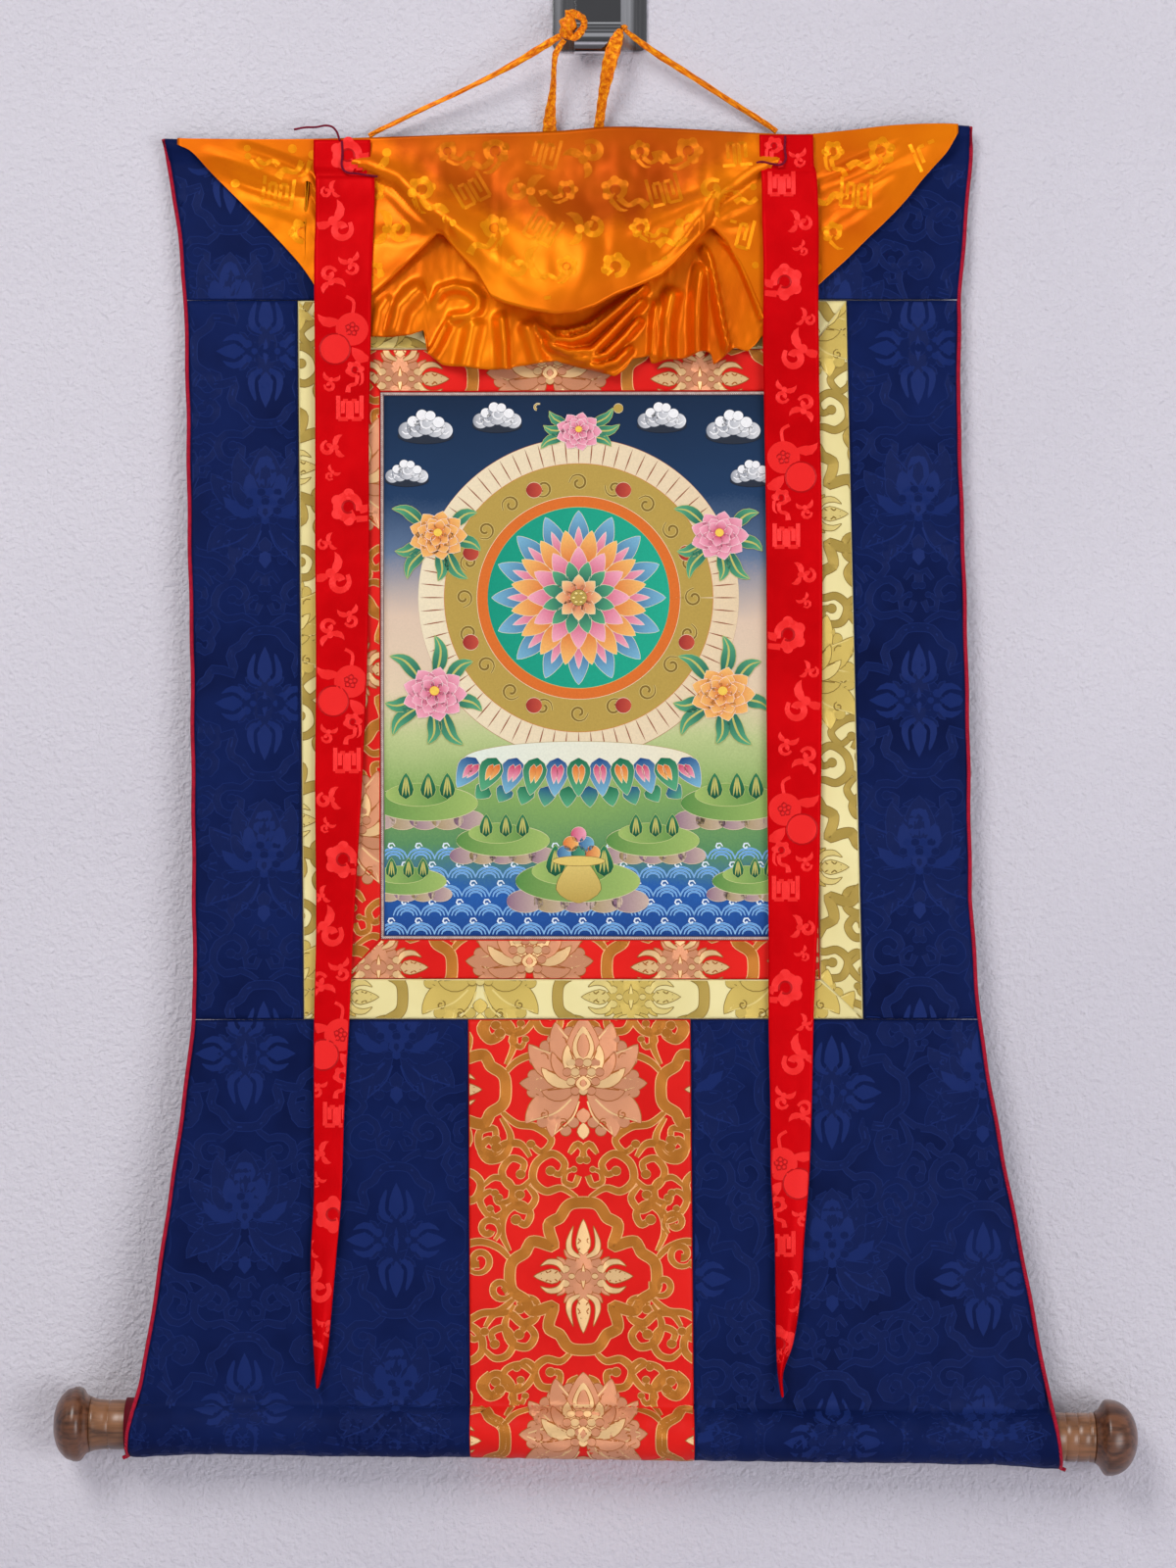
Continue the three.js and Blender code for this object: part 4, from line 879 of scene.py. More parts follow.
def repeat_lines(dye, rim, flower, flower_rim, heart, collar=3.9, finer=1.0):
    """One whole repeat: collar and cross in the middle, a lotus above, vines between."""
    ring = collar_ring()
    lines = [
        float_line(ring, [collar, collar], dye, rim, layer=1, step=1.6 * finer),
        float_line(ring, [0.55, 0.55], rim, rim, layer=2, step=2.0 * finer)
    ]
    lines += [
        float_line(
            points, [a, mix(a, b, 0.8), b, b, mix(b, c, 0.5), c, c * 0.9], dye, rim, layer=0,
            step=1.7 * finer
        )
        for points, (a, b, c) in VINES
    ]
    lines += [disc(points[-1], c * 1.35, dye, rim, layer=1) for points, (a, b, c) in VINES]
    lines += cross_bloom(flower, flower_rim, heart)
    return lines + moved(lotus(flower, flower_rim, heart), 0, 121)


REPEAT_WIDTH, REPEAT_HEIGHT, HALF_DROP = 96.5, 227.0, 119.0


def repeats(lines, x0, x1, z0, z1, at_x, at_z, scale=1.0, between=None):
    """The repeat in half-drop order over a rectangle, with a collar at at_x, at_z; odd columns may differ."""
    out = []
    for column in range(-8, 9):
        cx = at_x + column * REPEAT_WIDTH * scale
        if not x0 - 60 * scale < cx < x1 + 60 * scale:
            continue
        for row in range(-6, 7):
            cz = at_z + row * REPEAT_HEIGHT * scale + (HALF_DROP * scale if column % 2 else 0)
            if z0 - 190 * scale < cz < z1 + 130 * scale:
                out += moved(between if between and column % 2 else lines, cx, cz, scale)
    return out


def on_mount(x, z, lift):
    """Where a point of the flat pattern lies on the hung cloth, or round the roller at its foot."""
    seam = seam_z(x)
    if z >= seam:
        return hung(x, z, forward=lift)
    start = math.asin(read(SEAM_MIDDLE, x) / (pocket_radius(x) + CLOTH / 2))
    turn = start + (seam - z) / (pocket_radius(x) + CLOTH)
    s = (turn - start) / (LAP_END - start)
    reach = pocket_radius(x) + CLOTH + 0.25 + slack(x, turn, s) + lift
    return Vector((x, ROD_DEPTH - reach * math.sin(turn), rod_z(x) + reach * math.cos(turn)))


def fence(corners):
    """Cutting lines round a four-cornered piece, its corners clockwise from the top left."""
    out = []
    for (ax, az), (bx, bz) in zip(corners, corners[1:] + corners[:1]):
        out.append(((ax, az), (az - bz, bx - ax)))
    return out


# The mount's own damask is woven in one navy dye: the lustre of the floats sets the pattern off, and the
# floats are coloured at the light end of the ground and their outlines lighter still, as painted sheen.
NAVY_FLOAT, NAVY_LINE = paint(16, 31, 80)[:3], paint(24, 42, 100)[:3]
navy_float = figure_thread(
    "navy_figure_thread", roughness=0.46, metal=0.1, outline=0.5, rib=0.9, depth=0.3, shine=0.06
)
navy_lines = repeat_lines(
    (*NAVY_FLOAT, 1), (*NAVY_LINE, 1), (*NAVY_FLOAT, 1), (*NAVY_LINE, 1), (*NAVY_LINE, 1), collar=3.0,
    finer=1.5
)
# tone on tone needs fewer steps
navy_repeat = [{**line, "spine": line["spine"][:-1:2] + line["spine"][-1:]} for line in navy_lines]


def within(left, right):
    """A lay that holds the pattern between two side edges."""
    return lambda x, z, lift: on_mount(min(right(z) - 1.4, max(left(z) + 1.4, x)), z, lift)


def inside(left, right, top, foot):
    return lambda x, z: foot < z < top and left(z) + 1 < x < right(z) - 1


LEVEL = lambda top, foot: [((0, top), (0, 1)), ((0, foot), (0, -1))]
for name, left, right, top, foot, at_x, at_z in (
    ("damask_top", inner_left, inner_right, -104, -191, -238, -100),
    ("damask_side_left", inner_left, frame_left, SIDE_TOP - 1, SIDE_FOOT + 1, -215, -225),
    ("damask_side_right", frame_right, inner_right, SIDE_TOP - 1, SIDE_FOOT + 1, 205, -450),
    ("damask_foot_left", inner_left, lambda z: door_left(z) - GAP, SIDE_FOOT - 1.5, -950, -130, -795),
    ("damask_foot_right", lambda z: door_right(z) + GAP, inner_right, SIDE_FOOT - 1.5, -950, 245, -820),
):
    x0, x1 = min(left(top), left(foot)), max(right(top), right(foot))
    figures = repeats(navy_repeat, x0, x1, foot, top, at_x, at_z)
    weave_figures(
        name, figures, within(left, right), navy_float, "navy_damask", cuts=LEVEL(top, foot), puff=0.02,
        lift=0.03, layer_step=0.012, keep=inside(left, right, top, foot)
    )


# ---------------------------------------------------------------- door panel
# The red and gold brocade set into the foot of the mount under the picture, sewn between the two lower navy
# panels.
red_silk = woven_silk(
    "red_brocade_ground", paint(206, 14, 12), paint(232, 32, 24), roughness=0.5, sheen=0.03
)
door = lay_cloth(
    "door", 50, 114, lower_point(door_left, door_right), red_silk, "door_brocade", ["door_panel"],
    gather=0.3
)

RED_LINE_GOLD, GOLD_RIM = paint(190, 118, 42), paint(238, 178, 118)
LOTUS_PINK, LOTUS_RIM, LOTUS_HEART = paint(226, 156, 116), paint(182, 104, 48), paint(246, 204, 146)
gilt_thread = figure_thread("gilt_paper_thread", roughness=0.36, metal=0.35, outline=0.6)
brocade_repeat = repeat_lines(RED_LINE_GOLD, GOLD_RIM, LOTUS_PINK, LOTUS_RIM, LOTUS_HEART)
vines_only = (
    [line for line in brocade_repeat if line["rim"] == GOLD_RIM]
    + cross_bloom(LOTUS_PINK, LOTUS_RIM, LOTUS_HEART)
)
for cx, cz, radius, start, turns in (
    (30, 118, 9, 200, 1.2), (44, 100, 8, 20, -1.2), (36, 138, 8, 300, 1.1), (-34, 122, 9, 340, -1.2),
    (-46, 102, 8, 160, 1.2), (-38, 142, 8, 240, -1.1), (0, 132, 11, 270, 1.3), (12, 112, 7, 90, -1.1),
    (-12, 112, 7, 90, 1.1)
):
    vines_only += [curl((cx, cz), radius, start, turns, 2.4, RED_LINE_GOLD, GOLD_RIM, layer=1)]
weave_figures(
    "door_brocade_figures", repeats(brocade_repeat, -84, 60, -950, -654, -10.5, -818, between=vines_only),
    on_mount, gilt_thread, "door_brocade",
    cuts=fence([(-83.4, -655), (57.4, -655), (59.6, -950), (-82, -950)]),
)


# ---------------------------------------------------------------- brocade frames
# Two borders round the picture, each of four strips with mitred corners: the outer of pale gold silk with
# olive scrolls, the
# inner of red and gold brocade. A thin ivory cord is sewn between the inner one and the canvas.
GOLD_OUT = ((-194.6, -192.3), (159.0, -192.3), (168.7, -654.2), (-189.4, -654.2))
GOLD_IN = ((-166.1, -224), (135, -223.3), (141.3, -629.1), (-164.2, -628.5))
RED_IN = ((-141.2, -251.5), (110.3, -250.9), (114.1, -603.8), (-140.2, -603.1))
CANVAS = ((-139.1, -253.6), (108.3, -253), (112, -601.7), (-138.2, -601.1))


def mitred(outer, inner, name, across, finish, slot, node_name, bead=0.0):
    """Four mitred strips between two outlines, each outline from its top left corner clockwise."""
    inset = [
        (outer[0][0] + GAP, outer[0][1] - GAP), (outer[1][0] - GAP, outer[1][1] - GAP),
        (outer[2][0] - GAP, outer[2][1] + GAP), (outer[3][0] + GAP, outer[3][1] + GAP)
    ]
    for k, side in enumerate(("top", "right", "bottom", "left")):
        a, b, c, d = inset[k], inset[(k + 1) % 4], inner[(k + 1) % 4], inner[k]
        # corners in the order that keeps the front face towards the room
        quad = {
            "top": (a, b, d, c), "right": (d, a, c, b), "bottom": (c, d, b, a), "left": (b, c, a, d)
        }[side]
        def point(u, w, q=quad):
            px = mix(mix(q[0][0], q[1][0], u), mix(q[2][0], q[3][0], u), w)
            pz = mix(mix(q[0][1], q[1][1], u), mix(q[2][1], q[3][1], u), w)
            short = w if side in ("top", "bottom") else u
            span = 28 if not bead else 2
            edge = min(short, 1 - short) * span
            if bead:
                return hung(px, pz, forward=bead * math.sin(math.pi * short))
            return hung(px, pz, dip=0.5 * math.exp(-((edge / 1.4) ** 2)))
        counts = (
            (across, 14 if not bead else 6) if side in ("top", "bottom")
            else (14 if not bead else 6, across)
        )
        strip = lay_cloth(f"{name}_{side}", *counts, point, finish, slot, [f"{node_name}_{side}"])


gold_silk = woven_silk(
    "pale_gold_silk", paint(222, 206, 138), paint(240, 228, 168), roughness=0.42, sheen=0.05
)
ivory_cord = twisted_thread("ivory_cord", paint(160, 130, 120), paint(226, 214, 208), turns=500)
mitred(GOLD_OUT, GOLD_IN, "gold_border", 90, gold_silk, "gold_brocade", "gold_frame")
mitred(GOLD_IN, RED_IN, "red_border", 90, red_silk, "red_brocade", "red_frame")
mitred(RED_IN, CANVAS, "picture_cord", 90, ivory_cord, "ivory_edge", "canvas_edge", bead=0.5)

OLIVE, OLIVE_RIM, GILT, PALE = paint(184, 156, 76), paint(146, 118, 52), paint(
    222, 194, 102
), paint(240, 218, 136)
olive_thread = figure_thread("olive_silk_thread", roughness=0.42, metal=0.25, outline=0.5)
olive_repeat = repeat_lines(OLIVE, OLIVE_RIM, GILT, OLIVE_RIM, PALE, collar=3.6)


def border_figures(name, lines, outer, inner, finish, slot, at, scale):
    """Figures for the four strips of a border, each cut from the same cloth and mitred."""
    for k, side in enumerate(("top", "right", "bottom", "left")):
        a, b, c, d = outer[k], outer[(k + 1) % 4], inner[(k + 1) % 4], inner[k]
        middle = ((a[0] + b[0] + c[0] + d[0]) / 4, (a[1] + b[1] + c[1] + d[1]) / 4)
        corners = [
            tuple(
                mix(p[i], middle[i], 0.004 if i == (0 if side in ("top", "bottom") else 1) else 0.06)
                for i in (0, 1)
            )
            for p in (a, b, c, d)
        ]
        xs, zs = [p[0] for p in corners], [p[1] for p in corners]
        figures = repeats(lines, min(xs), max(xs), min(zs), max(zs), *at[k], scale=scale)
        weave_figures(
            f"{name}_{side}", figures, on_mount, finish, slot, cuts=fence(corners), keep=lambda x,
            z: min(xs) - 4 < x < max(xs) + 4 and min(zs) - 4 < z < max(zs) + 4
        )


border_figures(
    "gold_border_figures", olive_repeat, GOLD_OUT, GOLD_IN, olive_thread, "gold_brocade",
    ((-60, -240), (128, -330), (20, -640), (-213, -300)), 1.0
)
border_figures(
    "red_border_figures", brocade_repeat, GOLD_IN, RED_IN, gilt_thread, "red_brocade",
    ((-32, -362), (120, -380), (-45, -740), (-160, -430)), 1.0
)


# ---------------------------------------------------------------- painted canvas
# Cotton canvas sized with chalk and glue, rubbed smooth and painted with ground mineral colours: a shaded
# sky over green banks
# and water, and laid over it an open lotus wheel on a petalled seat, peonies, clouds, mounds and waves.
def shaded_ground(name):
    """The washes under the painting, shaded by height on Object coordinates, over the canvas's own weave."""
    material, principled = shader(name, Roughness=0.82, Specular_IOR_Level=0.25)
    place = own_place(material)
    grain = node(material, "TexNoise", {"Vector": place, "Scale": 900.0, "Detail": 2.0})
    drift = node(material, "TexNoise", {"Vector": place, "Scale": 16.0, "Detail": 3.0})
    height = node(material, "SeparateXYZ", {"Vector": place}).outputs["Z"]
    wandering = maths(material, "MULTIPLY_ADD", drift.outputs["Fac"], 0.022, height)
    speckled = maths(material, "MULTIPLY_ADD", grain.outputs["Fac"], 0.012, wandering)
    share = remap(material, speckled, start=-0.601, end=-0.236)
    washes = ramp(
        material, share, (0.0, paint(16, 48, 118)), (0.13, paint(34, 92, 168)), (0.2, paint(88, 140, 92)),
        (0.3, paint(134, 170, 92)), (0.4, paint(188, 200, 138)), (0.47, paint(226, 204, 172)),
        (0.6, paint(222, 196, 172)), (0.72, paint(96, 118, 148)), (0.82, paint(26, 56, 92)),
        (1.0, paint(14, 38, 66)),
    )
    dull = remap(material, grain.outputs["Fac"], 0.9, 1.06)
    painted = blend(material, 1.0, washes, dull, "MULTIPLY")
    facing = node(
        material, "SeparateXYZ", {"Vector": node(material, "TexCoord").outputs["Normal"]}
    ).outputs["Y"]
    bare_back = maths(material, "GREATER_THAN", facing, 0.5)
    sides = blend(material, bare_back, painted, paint(206, 196, 176))
    wire(material, sides, principled.inputs["Base Color"])
    bump(material, principled, grain.outputs["Fac"], 0.12, 0.0001)
    return material


def canvas_corner(k):
    return CANVAS[k][0] + (1, -1, -1, 1)[k] * GAP, CANVAS[k][1] - (1, 1, -1, -1)[k] * GAP


def canvas_point(u, w):
    (ax, az), (bx, bz), (cx, cz), (dx, dz) = (canvas_corner(k) for k in range(4))
    return hung(mix(mix(ax, bx, u), mix(dx, cx, u), w), mix(mix(az, bz, u), mix(dz, cz, u), w), dip=0.05)


canvas = lay_cloth(
    "canvas", 60, 86, canvas_point, shaded_ground("washed_ground"), "painted_canvas", ["painting"],
    thick=1.0
)

WHEEL = (-13.5, -384.0)
GOLD, DARK, CREAM = paint(186, 156, 74), paint(46, 32, 30), paint(240, 226, 192)
TEAL, TEAL_LIGHT, LEAF_RIM = paint(4, 84, 78), paint(92, 176, 128), paint(196, 190, 104)
PINK, PINK_LIGHT = paint(196, 24, 84), paint(250, 178, 196)
ORANGE, ORANGE_LIGHT = paint(216, 92, 24), paint(252, 196, 112)
BLUE, BLUE_LIGHT = paint(8, 62, 128), paint(128, 188, 214)


def wheel_of(count, centre, near, far, width, dye, light, rim, layer, phase=0.0, squash=1.0):
    """Petals or rays set round a middle."""
    out = []
    for k in range(count):
        a = math.tau * (k + phase) / count
        c, s = math.cos(a), math.sin(a) * squash
        out.append(
            leaf(
                (centre[0] + near * c, centre[1] + near * s), (centre[0] + far * c, centre[1] + far * s),
                width, dye, rim, layer=layer, light=light
            )
        )
    return out


def hoop(centre, radius, half, dye, rim, layer, sides=72):
    points = [
        (
            centre[0] + radius * math.cos(math.tau * k / sides),
            centre[1] + radius * math.sin(math.tau * k / sides)
        )
        for k in range(sides)
    ]
    return float_line(points + points[:1], [half, half], dye, rim, layer=layer, step=3.0)


def peony(centre, size, deep, light, layer):
    rim = paint(255, 236, 232)
    out = [disc(centre, size * 0.5, deep, rim, layer=layer)]
    out += wheel_of(9, centre, size * 0.1, size, size * 0.34, deep, light, rim, layer, squash=0.84)
    out += wheel_of(
        8, centre, size * 0.08, size * 0.74, size * 0.27, deep, light, rim, layer + 1, phase=0.5,
        squash=0.84
    )
    out += wheel_of(
        6, (centre[0], centre[1] + size * 0.08), size * 0.05, size * 0.46, size * 0.2, deep, light, rim,
        layer + 2, phase=0.25
    )
    out += [
        disc((centre[0], centre[1] + size * 0.1), size * 0.15, paint(248, 206, 84), ORANGE, layer=layer + 3)
    ]
    return out


def spray(centre, size, layer, turns):
    """Leaves fanned out under a blossom."""
    out = []
    for k, turn in enumerate(turns):
        a = math.radians(turn)
        c, s = math.cos(a), math.sin(a)
        reach = size * (1.55 + 0.25 * (k % 2))
        base, tip = (
            centre[0] + size * 0.5 * c, centre[1] + size * 0.5 * s
        ), (centre[0] + reach * c, centre[1] + reach * s)
        out.append(
            leaf(
                base, tip, size * 0.24, TEAL, LEAF_RIM, layer=layer, light=TEAL_LIGHT, bend=0.14 * (-1) ** k
            )
        )
        out.append(
            leaf(base, tip, size * 0.035, LEAF_RIM, LEAF_RIM, layer=layer + 1, bend=0.14 * (-1) ** k)
        )
    return out


def cloud(centre, size, layer=2):
    """A banked cloud: a dark underside, grey billows and white crowns with curled edges."""
    grey, white, line = paint(128, 134, 146), paint(244, 244, 244), paint(84, 90, 104)
    out = [
        disc(
            (centre[0], centre[1] - size * 0.3), size * 0.95, paint(38, 46, 60), paint(18, 24, 36),
            layer=layer, squash=0.3
        )
    ]
    for k, (dx, dz, r) in enumerate((
        (-0.62, -0.12, 0.3), (0.62, -0.12, 0.3), (-0.3, -0.02, 0.34), (0.32, -0.02, 0.34), (0, 0.12, 0.4),
        (-0.42, 0.18, 0.2), (0.44, 0.16, 0.2), (-0.12, 0.4, 0.2), (0.16, 0.38, 0.18)
    )):
        middle = (centre[0] + dx * size, centre[1] + dz * size)
        out.append(
            disc(middle, r * size, grey if k < 5 else white, line, layer=layer + 1 + k // 2, light=white)
        )
        out.append(
            curl(
                (middle[0], middle[1] + r * size * 0.1), r * size * 0.62, 200 if dx < 0 else -20,
                0.9 if dx < 0 else -0.9, size * 0.03, white, white, layer=layer + 2 + k // 2
            )
        )
    return out


def mound(centre, size, deep, light, layer=3):
    """A scalloped bank: a green crown over a layered foot."""
    out = []
    for k in range(5):
        dx = (k - 2) * size * 0.42
        out.append(
            disc(
                (centre[0] + dx, centre[1] - size * 0.32), size * 0.3,
                (paint(126, 84, 122), paint(150, 128, 70))[k % 2], paint(232, 214, 176), layer=layer,
                squash=0.62, light=paint(214, 190, 170)
            )
        )
    out.append(
        disc(
            (centre[0], centre[1]), size, deep, paint(236, 226, 180), layer=layer + 1, squash=0.34,
            light=light
        )
    )
    out.append(
        disc(
            (centre[0] - size * 0.12, centre[1] + size * 0.16), size * 0.62, light, paint(206, 212, 140),
            layer=layer + 2, squash=0.36, light=deep
        )
    )
    for dx in (-0.36, 0.06, 0.42):  # clipped bushes
        foot = (centre[0] + dx * size, centre[1] + size * 0.08)
        out.append(
            leaf(
                foot, (foot[0], foot[1] + size * 0.5), size * 0.16, paint(8, 78, 52), paint(190, 206, 120),
                layer=layer + 3, light=paint(44, 128, 84), full=0.3
            )
        )
        out += [
            leaf(
                (foot[0] + d, foot[1] + size * 0.06), (foot[0] + d * 0.2, foot[1] + size * 0.42),
                size * 0.018, LEAF_RIM, LEAF_RIM, layer=layer + 4
            )
            for d in (-size * 0.07, 0.0, size * 0.07)
        ]
    return out


def wave(centre, size, layer=2, mirror=1):
    """Nested arcs of water with a curling crest."""
    out = []
    for k, r in enumerate((1.0, 0.74, 0.48)):
        arc = [
            (size * r * math.cos(a), size * r * math.sin(a) * 0.8)
            for a in (math.radians(d) for d in (0, 36, 72, 108, 144, 180))
        ]
        out.append(
            float_line(
                arc, [0.3, 0.7, 0.7, 0.3], paint(96, 158, 220), paint(150, 196, 236), layer=layer + k,
                step=2.6
            )
        )
    out.append(
        curl(
            (-size * 0.2, size * 0.95), size * 0.3, 0, 1.0, 0.55, paint(214, 232, 246),
            paint(240, 248, 252), layer=layer + 3
        )
    )
    return moved(out, *centre, mirror=mirror)


painted = [disc(WHEEL, 103, CREAM, paint(170, 90, 60), layer=2, light=paint(232, 206, 168))]
for k in range(72):  # fine rays
    a = math.tau * k / 72
    painted.append(
        leaf(
            (WHEEL[0] + 86 * math.cos(a), WHEEL[1] + 86 * math.sin(a)),
            (WHEEL[0] + 102 * math.cos(a), WHEEL[1] + 102 * math.sin(a)), 0.4, paint(150, 80, 50),
            paint(150, 80, 50), layer=3, step=5.0
        )
    )
painted += [hoop(WHEEL, 75, 11.5, GOLD, paint(214, 120, 52), 4)]
for k in range(20):  # scrolls in the gold ring
    a = math.tau * k / 20
    painted += moved(
        [curl((0, 0), 6.2, 90, 1.2, 1.0, paint(132, 104, 40), paint(226, 204, 128), layer=6)],
        WHEEL[0] + 74 * math.cos(a), WHEEL[1] + 74 * math.sin(a), mirror=(-1) ** k,
        turn=math.degrees(a) * (-1) ** k
    )
for k in range(8):
    a = math.tau * (k + 0.5) / 8
    painted += [
        disc(
            (WHEEL[0] + 75 * math.cos(a), WHEEL[1] + 75 * math.sin(a)), 5.2, paint(150, 30, 36), CREAM,
            layer=8, light=paint(206, 84, 60)
        )
    ]
painted += [
    hoop(WHEEL, 61.5, 4.0, paint(222, 112, 40), CREAM, 6),
    disc(WHEEL, 58.5, paint(6, 148, 120), paint(222, 190, 110), layer=7, light=paint(30, 172, 140))
]
painted += wheel_of(16, WHEEL, 26, 56, 7.0, BLUE, BLUE_LIGHT, CREAM, 8)
painted += wheel_of(16, WHEEL, 24, 46, 3.0, PINK, PINK_LIGHT, CREAM, 9)
painted += wheel_of(16, WHEEL, 18, 44, 6.0, ORANGE, ORANGE_LIGHT, CREAM, 10, phase=0.5)
painted += wheel_of(12, WHEEL, 10, 33, 6.0, PINK, PINK_LIGHT, CREAM, 11)
painted += wheel_of(12, WHEEL, 8, 24, 4.6, TEAL, TEAL_LIGHT, CREAM, 12, phase=0.5)
painted += wheel_of(8, WHEEL, 2, 15, 4.6, paint(206, 48, 36), paint(252, 214, 150), CREAM, 13)
painted += [disc(WHEEL, 5.4, GOLD, DARK, layer=14)]
painted += [
    disc(
        (WHEEL[0] + 3.2 * math.cos(math.tau * k / 6), WHEEL[1] + 3.2 * math.sin(math.tau * k / 6)), 1.1,
        paint(248, 224, 140), DARK, layer=15
    )
    for k in range(6)
]

# the seat under the wheel: a cup of petals, each with a two-lobed heart
SEAT = (WHEEL[0], -497.0)
painted += [
    disc(
        (SEAT[0], SEAT[1] + 9), 74, paint(226, 238, 226), paint(180, 150, 90), layer=5, squash=0.16,
        light=CREAM
    )
]
for k in range(11):
    across = (k - 5) / 5
    x, lean = SEAT[0] + across * 66, across * 12
    outer, heart, heart_light = ((BLUE, PINK, PINK_LIGHT), (paint(6, 104, 72), ORANGE, ORANGE_LIGHT))[k % 2]
    painted.append(
        leaf(
            (x, SEAT[1] + 10), (x + lean, SEAT[1] - 15 + 6 * across**2), 8.2, outer, CREAM, layer=6 + k % 2,
            light=BLUE_LIGHT if k % 2 == 0 else TEAL_LIGHT, full=0.3
        )
    )
    for side in (-1, 1):
        painted.append(
            leaf(
                (x + side * 2.1, SEAT[1] + 6), (x + side * 1.4 + lean * 0.6, SEAT[1] - 7 + 4 * across**2),
                2.6, heart, CREAM, layer=9, light=heart_light, full=0.3
            )
        )
for k in range(10):
    across = (k - 4.5) / 4.5
    x = SEAT[0] + across * 58
    painted.append(
        leaf(
            (x, SEAT[1] - 8), (x + across * 8, SEAT[1] - 22 + 6 * across**2), 6.4,
            (paint(6, 104, 72), BLUE)[k % 2], CREAM, layer=5, light=TEAL_LIGHT, full=0.3
        )
    )

for (cx, cz), size, deep, light, turns in (
    ((-104, -344), 19, ORANGE, ORANGE_LIGHT, (200, 235, 270, 305, 340, 150, 30)),
    ((77, -344), 19, PINK, PINK_LIGHT, (200, 235, 270, 305, 340, 150, 30)),
    ((-106, -446), 21, PINK, PINK_LIGHT, (190, 225, 262, 300, 340, 140, 40, 90)),
    ((79, -446), 21, ORANGE, ORANGE_LIGHT, (190, 225, 262, 300, 340, 140, 40, 90)),
    ((-13.5, -277), 15, PINK, PINK_LIGHT, (170, 205, 335, 10, 145, 35)),
):
    painted += spray((cx, cz), size, 16, turns) + peony((cx, cz), size, deep, light, 18)
for cx, cz, size in (
    (-112, -274, 19), (-66, -268, 17), (40, -268, 17), (86, -274, 19), (-124, -304, 15), (98, -304, 15)
):
    painted += cloud((cx, cz), size, layer=4)
painted += [
    disc((12, -262), 3.2, GOLD, CREAM, layer=4), curl((-40, -262), 3.4, 60, 0.5, 0.8, GOLD, CREAM, layer=4)
]
for row in range(5):
    for k in range(15):
        painted += wave((-132 + k * 17.5 + (row % 2) * 8.7, -552 - row * 12.0), 8.8, layer=2 + row)
for cx, cz, size, layer in (
    (-112, -516, 34, 8), (86, -516, 34, 8), (-62, -540, 30, 10), (34, -540, 30, 10), (-14, -566, 40, 12),
    (-124, -566, 26, 12), (98, -566, 26, 12)
):
    painted += mound((cx, cz), size, paint(72, 134, 62), paint(172, 196, 108), layer)
# a gold basin of fruit on the nearest bank
painted += [
    leaf(
        (-13.5, -580), (-13.5, -549), 15, GOLD, paint(96, 66, 24), layer=18, light=paint(232, 206, 120),
        full=0.3
    ),
    disc((-13.5, -553), 17, paint(226, 198, 108), paint(110, 76, 30), layer=20, squash=0.2)
]
for dx, dz, dye, light in (
    (-9, 3, BLUE, BLUE_LIGHT), (9, 3, paint(196, 60, 40), ORANGE_LIGHT), (0, 3, TEAL, TEAL_LIGHT),
    (-5, 9, ORANGE, ORANGE_LIGHT), (5, 9, BLUE, BLUE_LIGHT), (0, 15, PINK, PINK_LIGHT)
):
    painted.append(disc((-13.5 + dx, -551 + dz), 5.0, dye, CREAM, layer=19, light=light))

brushwork, brush_shader = shader("ground_mineral_paint", Roughness=0.78, Specular_IOR_Level=0.25)
body, line = node(
    brushwork, "Attribute", attribute_name="dye"
), node(brushwork, "Attribute", attribute_name="rim")
inside_line = remap(brushwork, from_edge(brushwork), start=0.16, end=0.42)
tone = blend(brushwork, inside_line, line.outputs["Color"], body.outputs["Color"])
tooth = node(brushwork, "TexNoise", {"Vector": own_place(brushwork), "Scale": 900.0, "Detail": 2.0})
worn = remap(brushwork, tooth.outputs["Fac"], 0.84, 1.06)
laid = blend(brushwork, 1.0, tone, worn, "MULTIPLY")
wire(brushwork, laid, brush_shader.inputs["Base Color"])
bump(brushwork, brush_shader, tooth.outputs["Fac"], 0.12, 0.0001)
weave_figures(
    "brush_painting", painted, on_mount, brushwork, "painted_canvas", puff=0.0, lift=0.03, layer_step=0.03,
    cuts=fence([
        (CANVAS[0][0] + 0.8, CANVAS[0][1] - 0.8), (CANVAS[1][0] - 0.8, CANVAS[1][1] - 0.8),
        (CANVAS[2][0] - 0.8, CANVAS[2][1] + 0.8), (CANVAS[3][0] + 0.8, CANVAS[3][1] + 0.8)
    ]),
)


# ---------------------------------------------------------------- edge piping
# A crimson corded piping sewn down both edges of the mount; its end stands out a little under the roller
# pocket.
crimson_cord = twisted_thread("crimson_piping", paint(120, 4, 30), paint(214, 30, 62), turns=420)
for name, edge, side, node_name in (
    ("piping_cord_left", left_edge, -1, "piping_left"), ("piping_cord_right", right_edge, 1, "piping_right")
):
    start = top_edge(edge(-87)) - 1
    route = [(edge(start), -8.4, start)]
    z = start - 4
    while z > -890:
        route.append((
            edge(z) + 0.25 * math.sin(z / 9),
            cloth_front(edge(z), z) + CLOTH / 2 + cockle(edge(z), z) * 0.4, z
        ))
        z -= 12
    reach = POCKET_INNER + POCKET_FLARE + CLOTH / 2 + 0.2
    for turn in (0.88, 1.12, 1.38, 1.66, 1.94, 2.22, 2.5, 2.75, 2.95):
        z = rod_z(edge(-917.2)) + reach * math.cos(turn)
        route.append((edge(z), ROD_DEPTH - reach * math.sin(turn), z))
    route.append((route[-1][0] + side * 3.4, route[-1][1] + 0.6, route[-1][2] - 1.6))
    piping = strand(name, route, 1.3, crimson_cord, "red_piping")
    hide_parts(node_name)


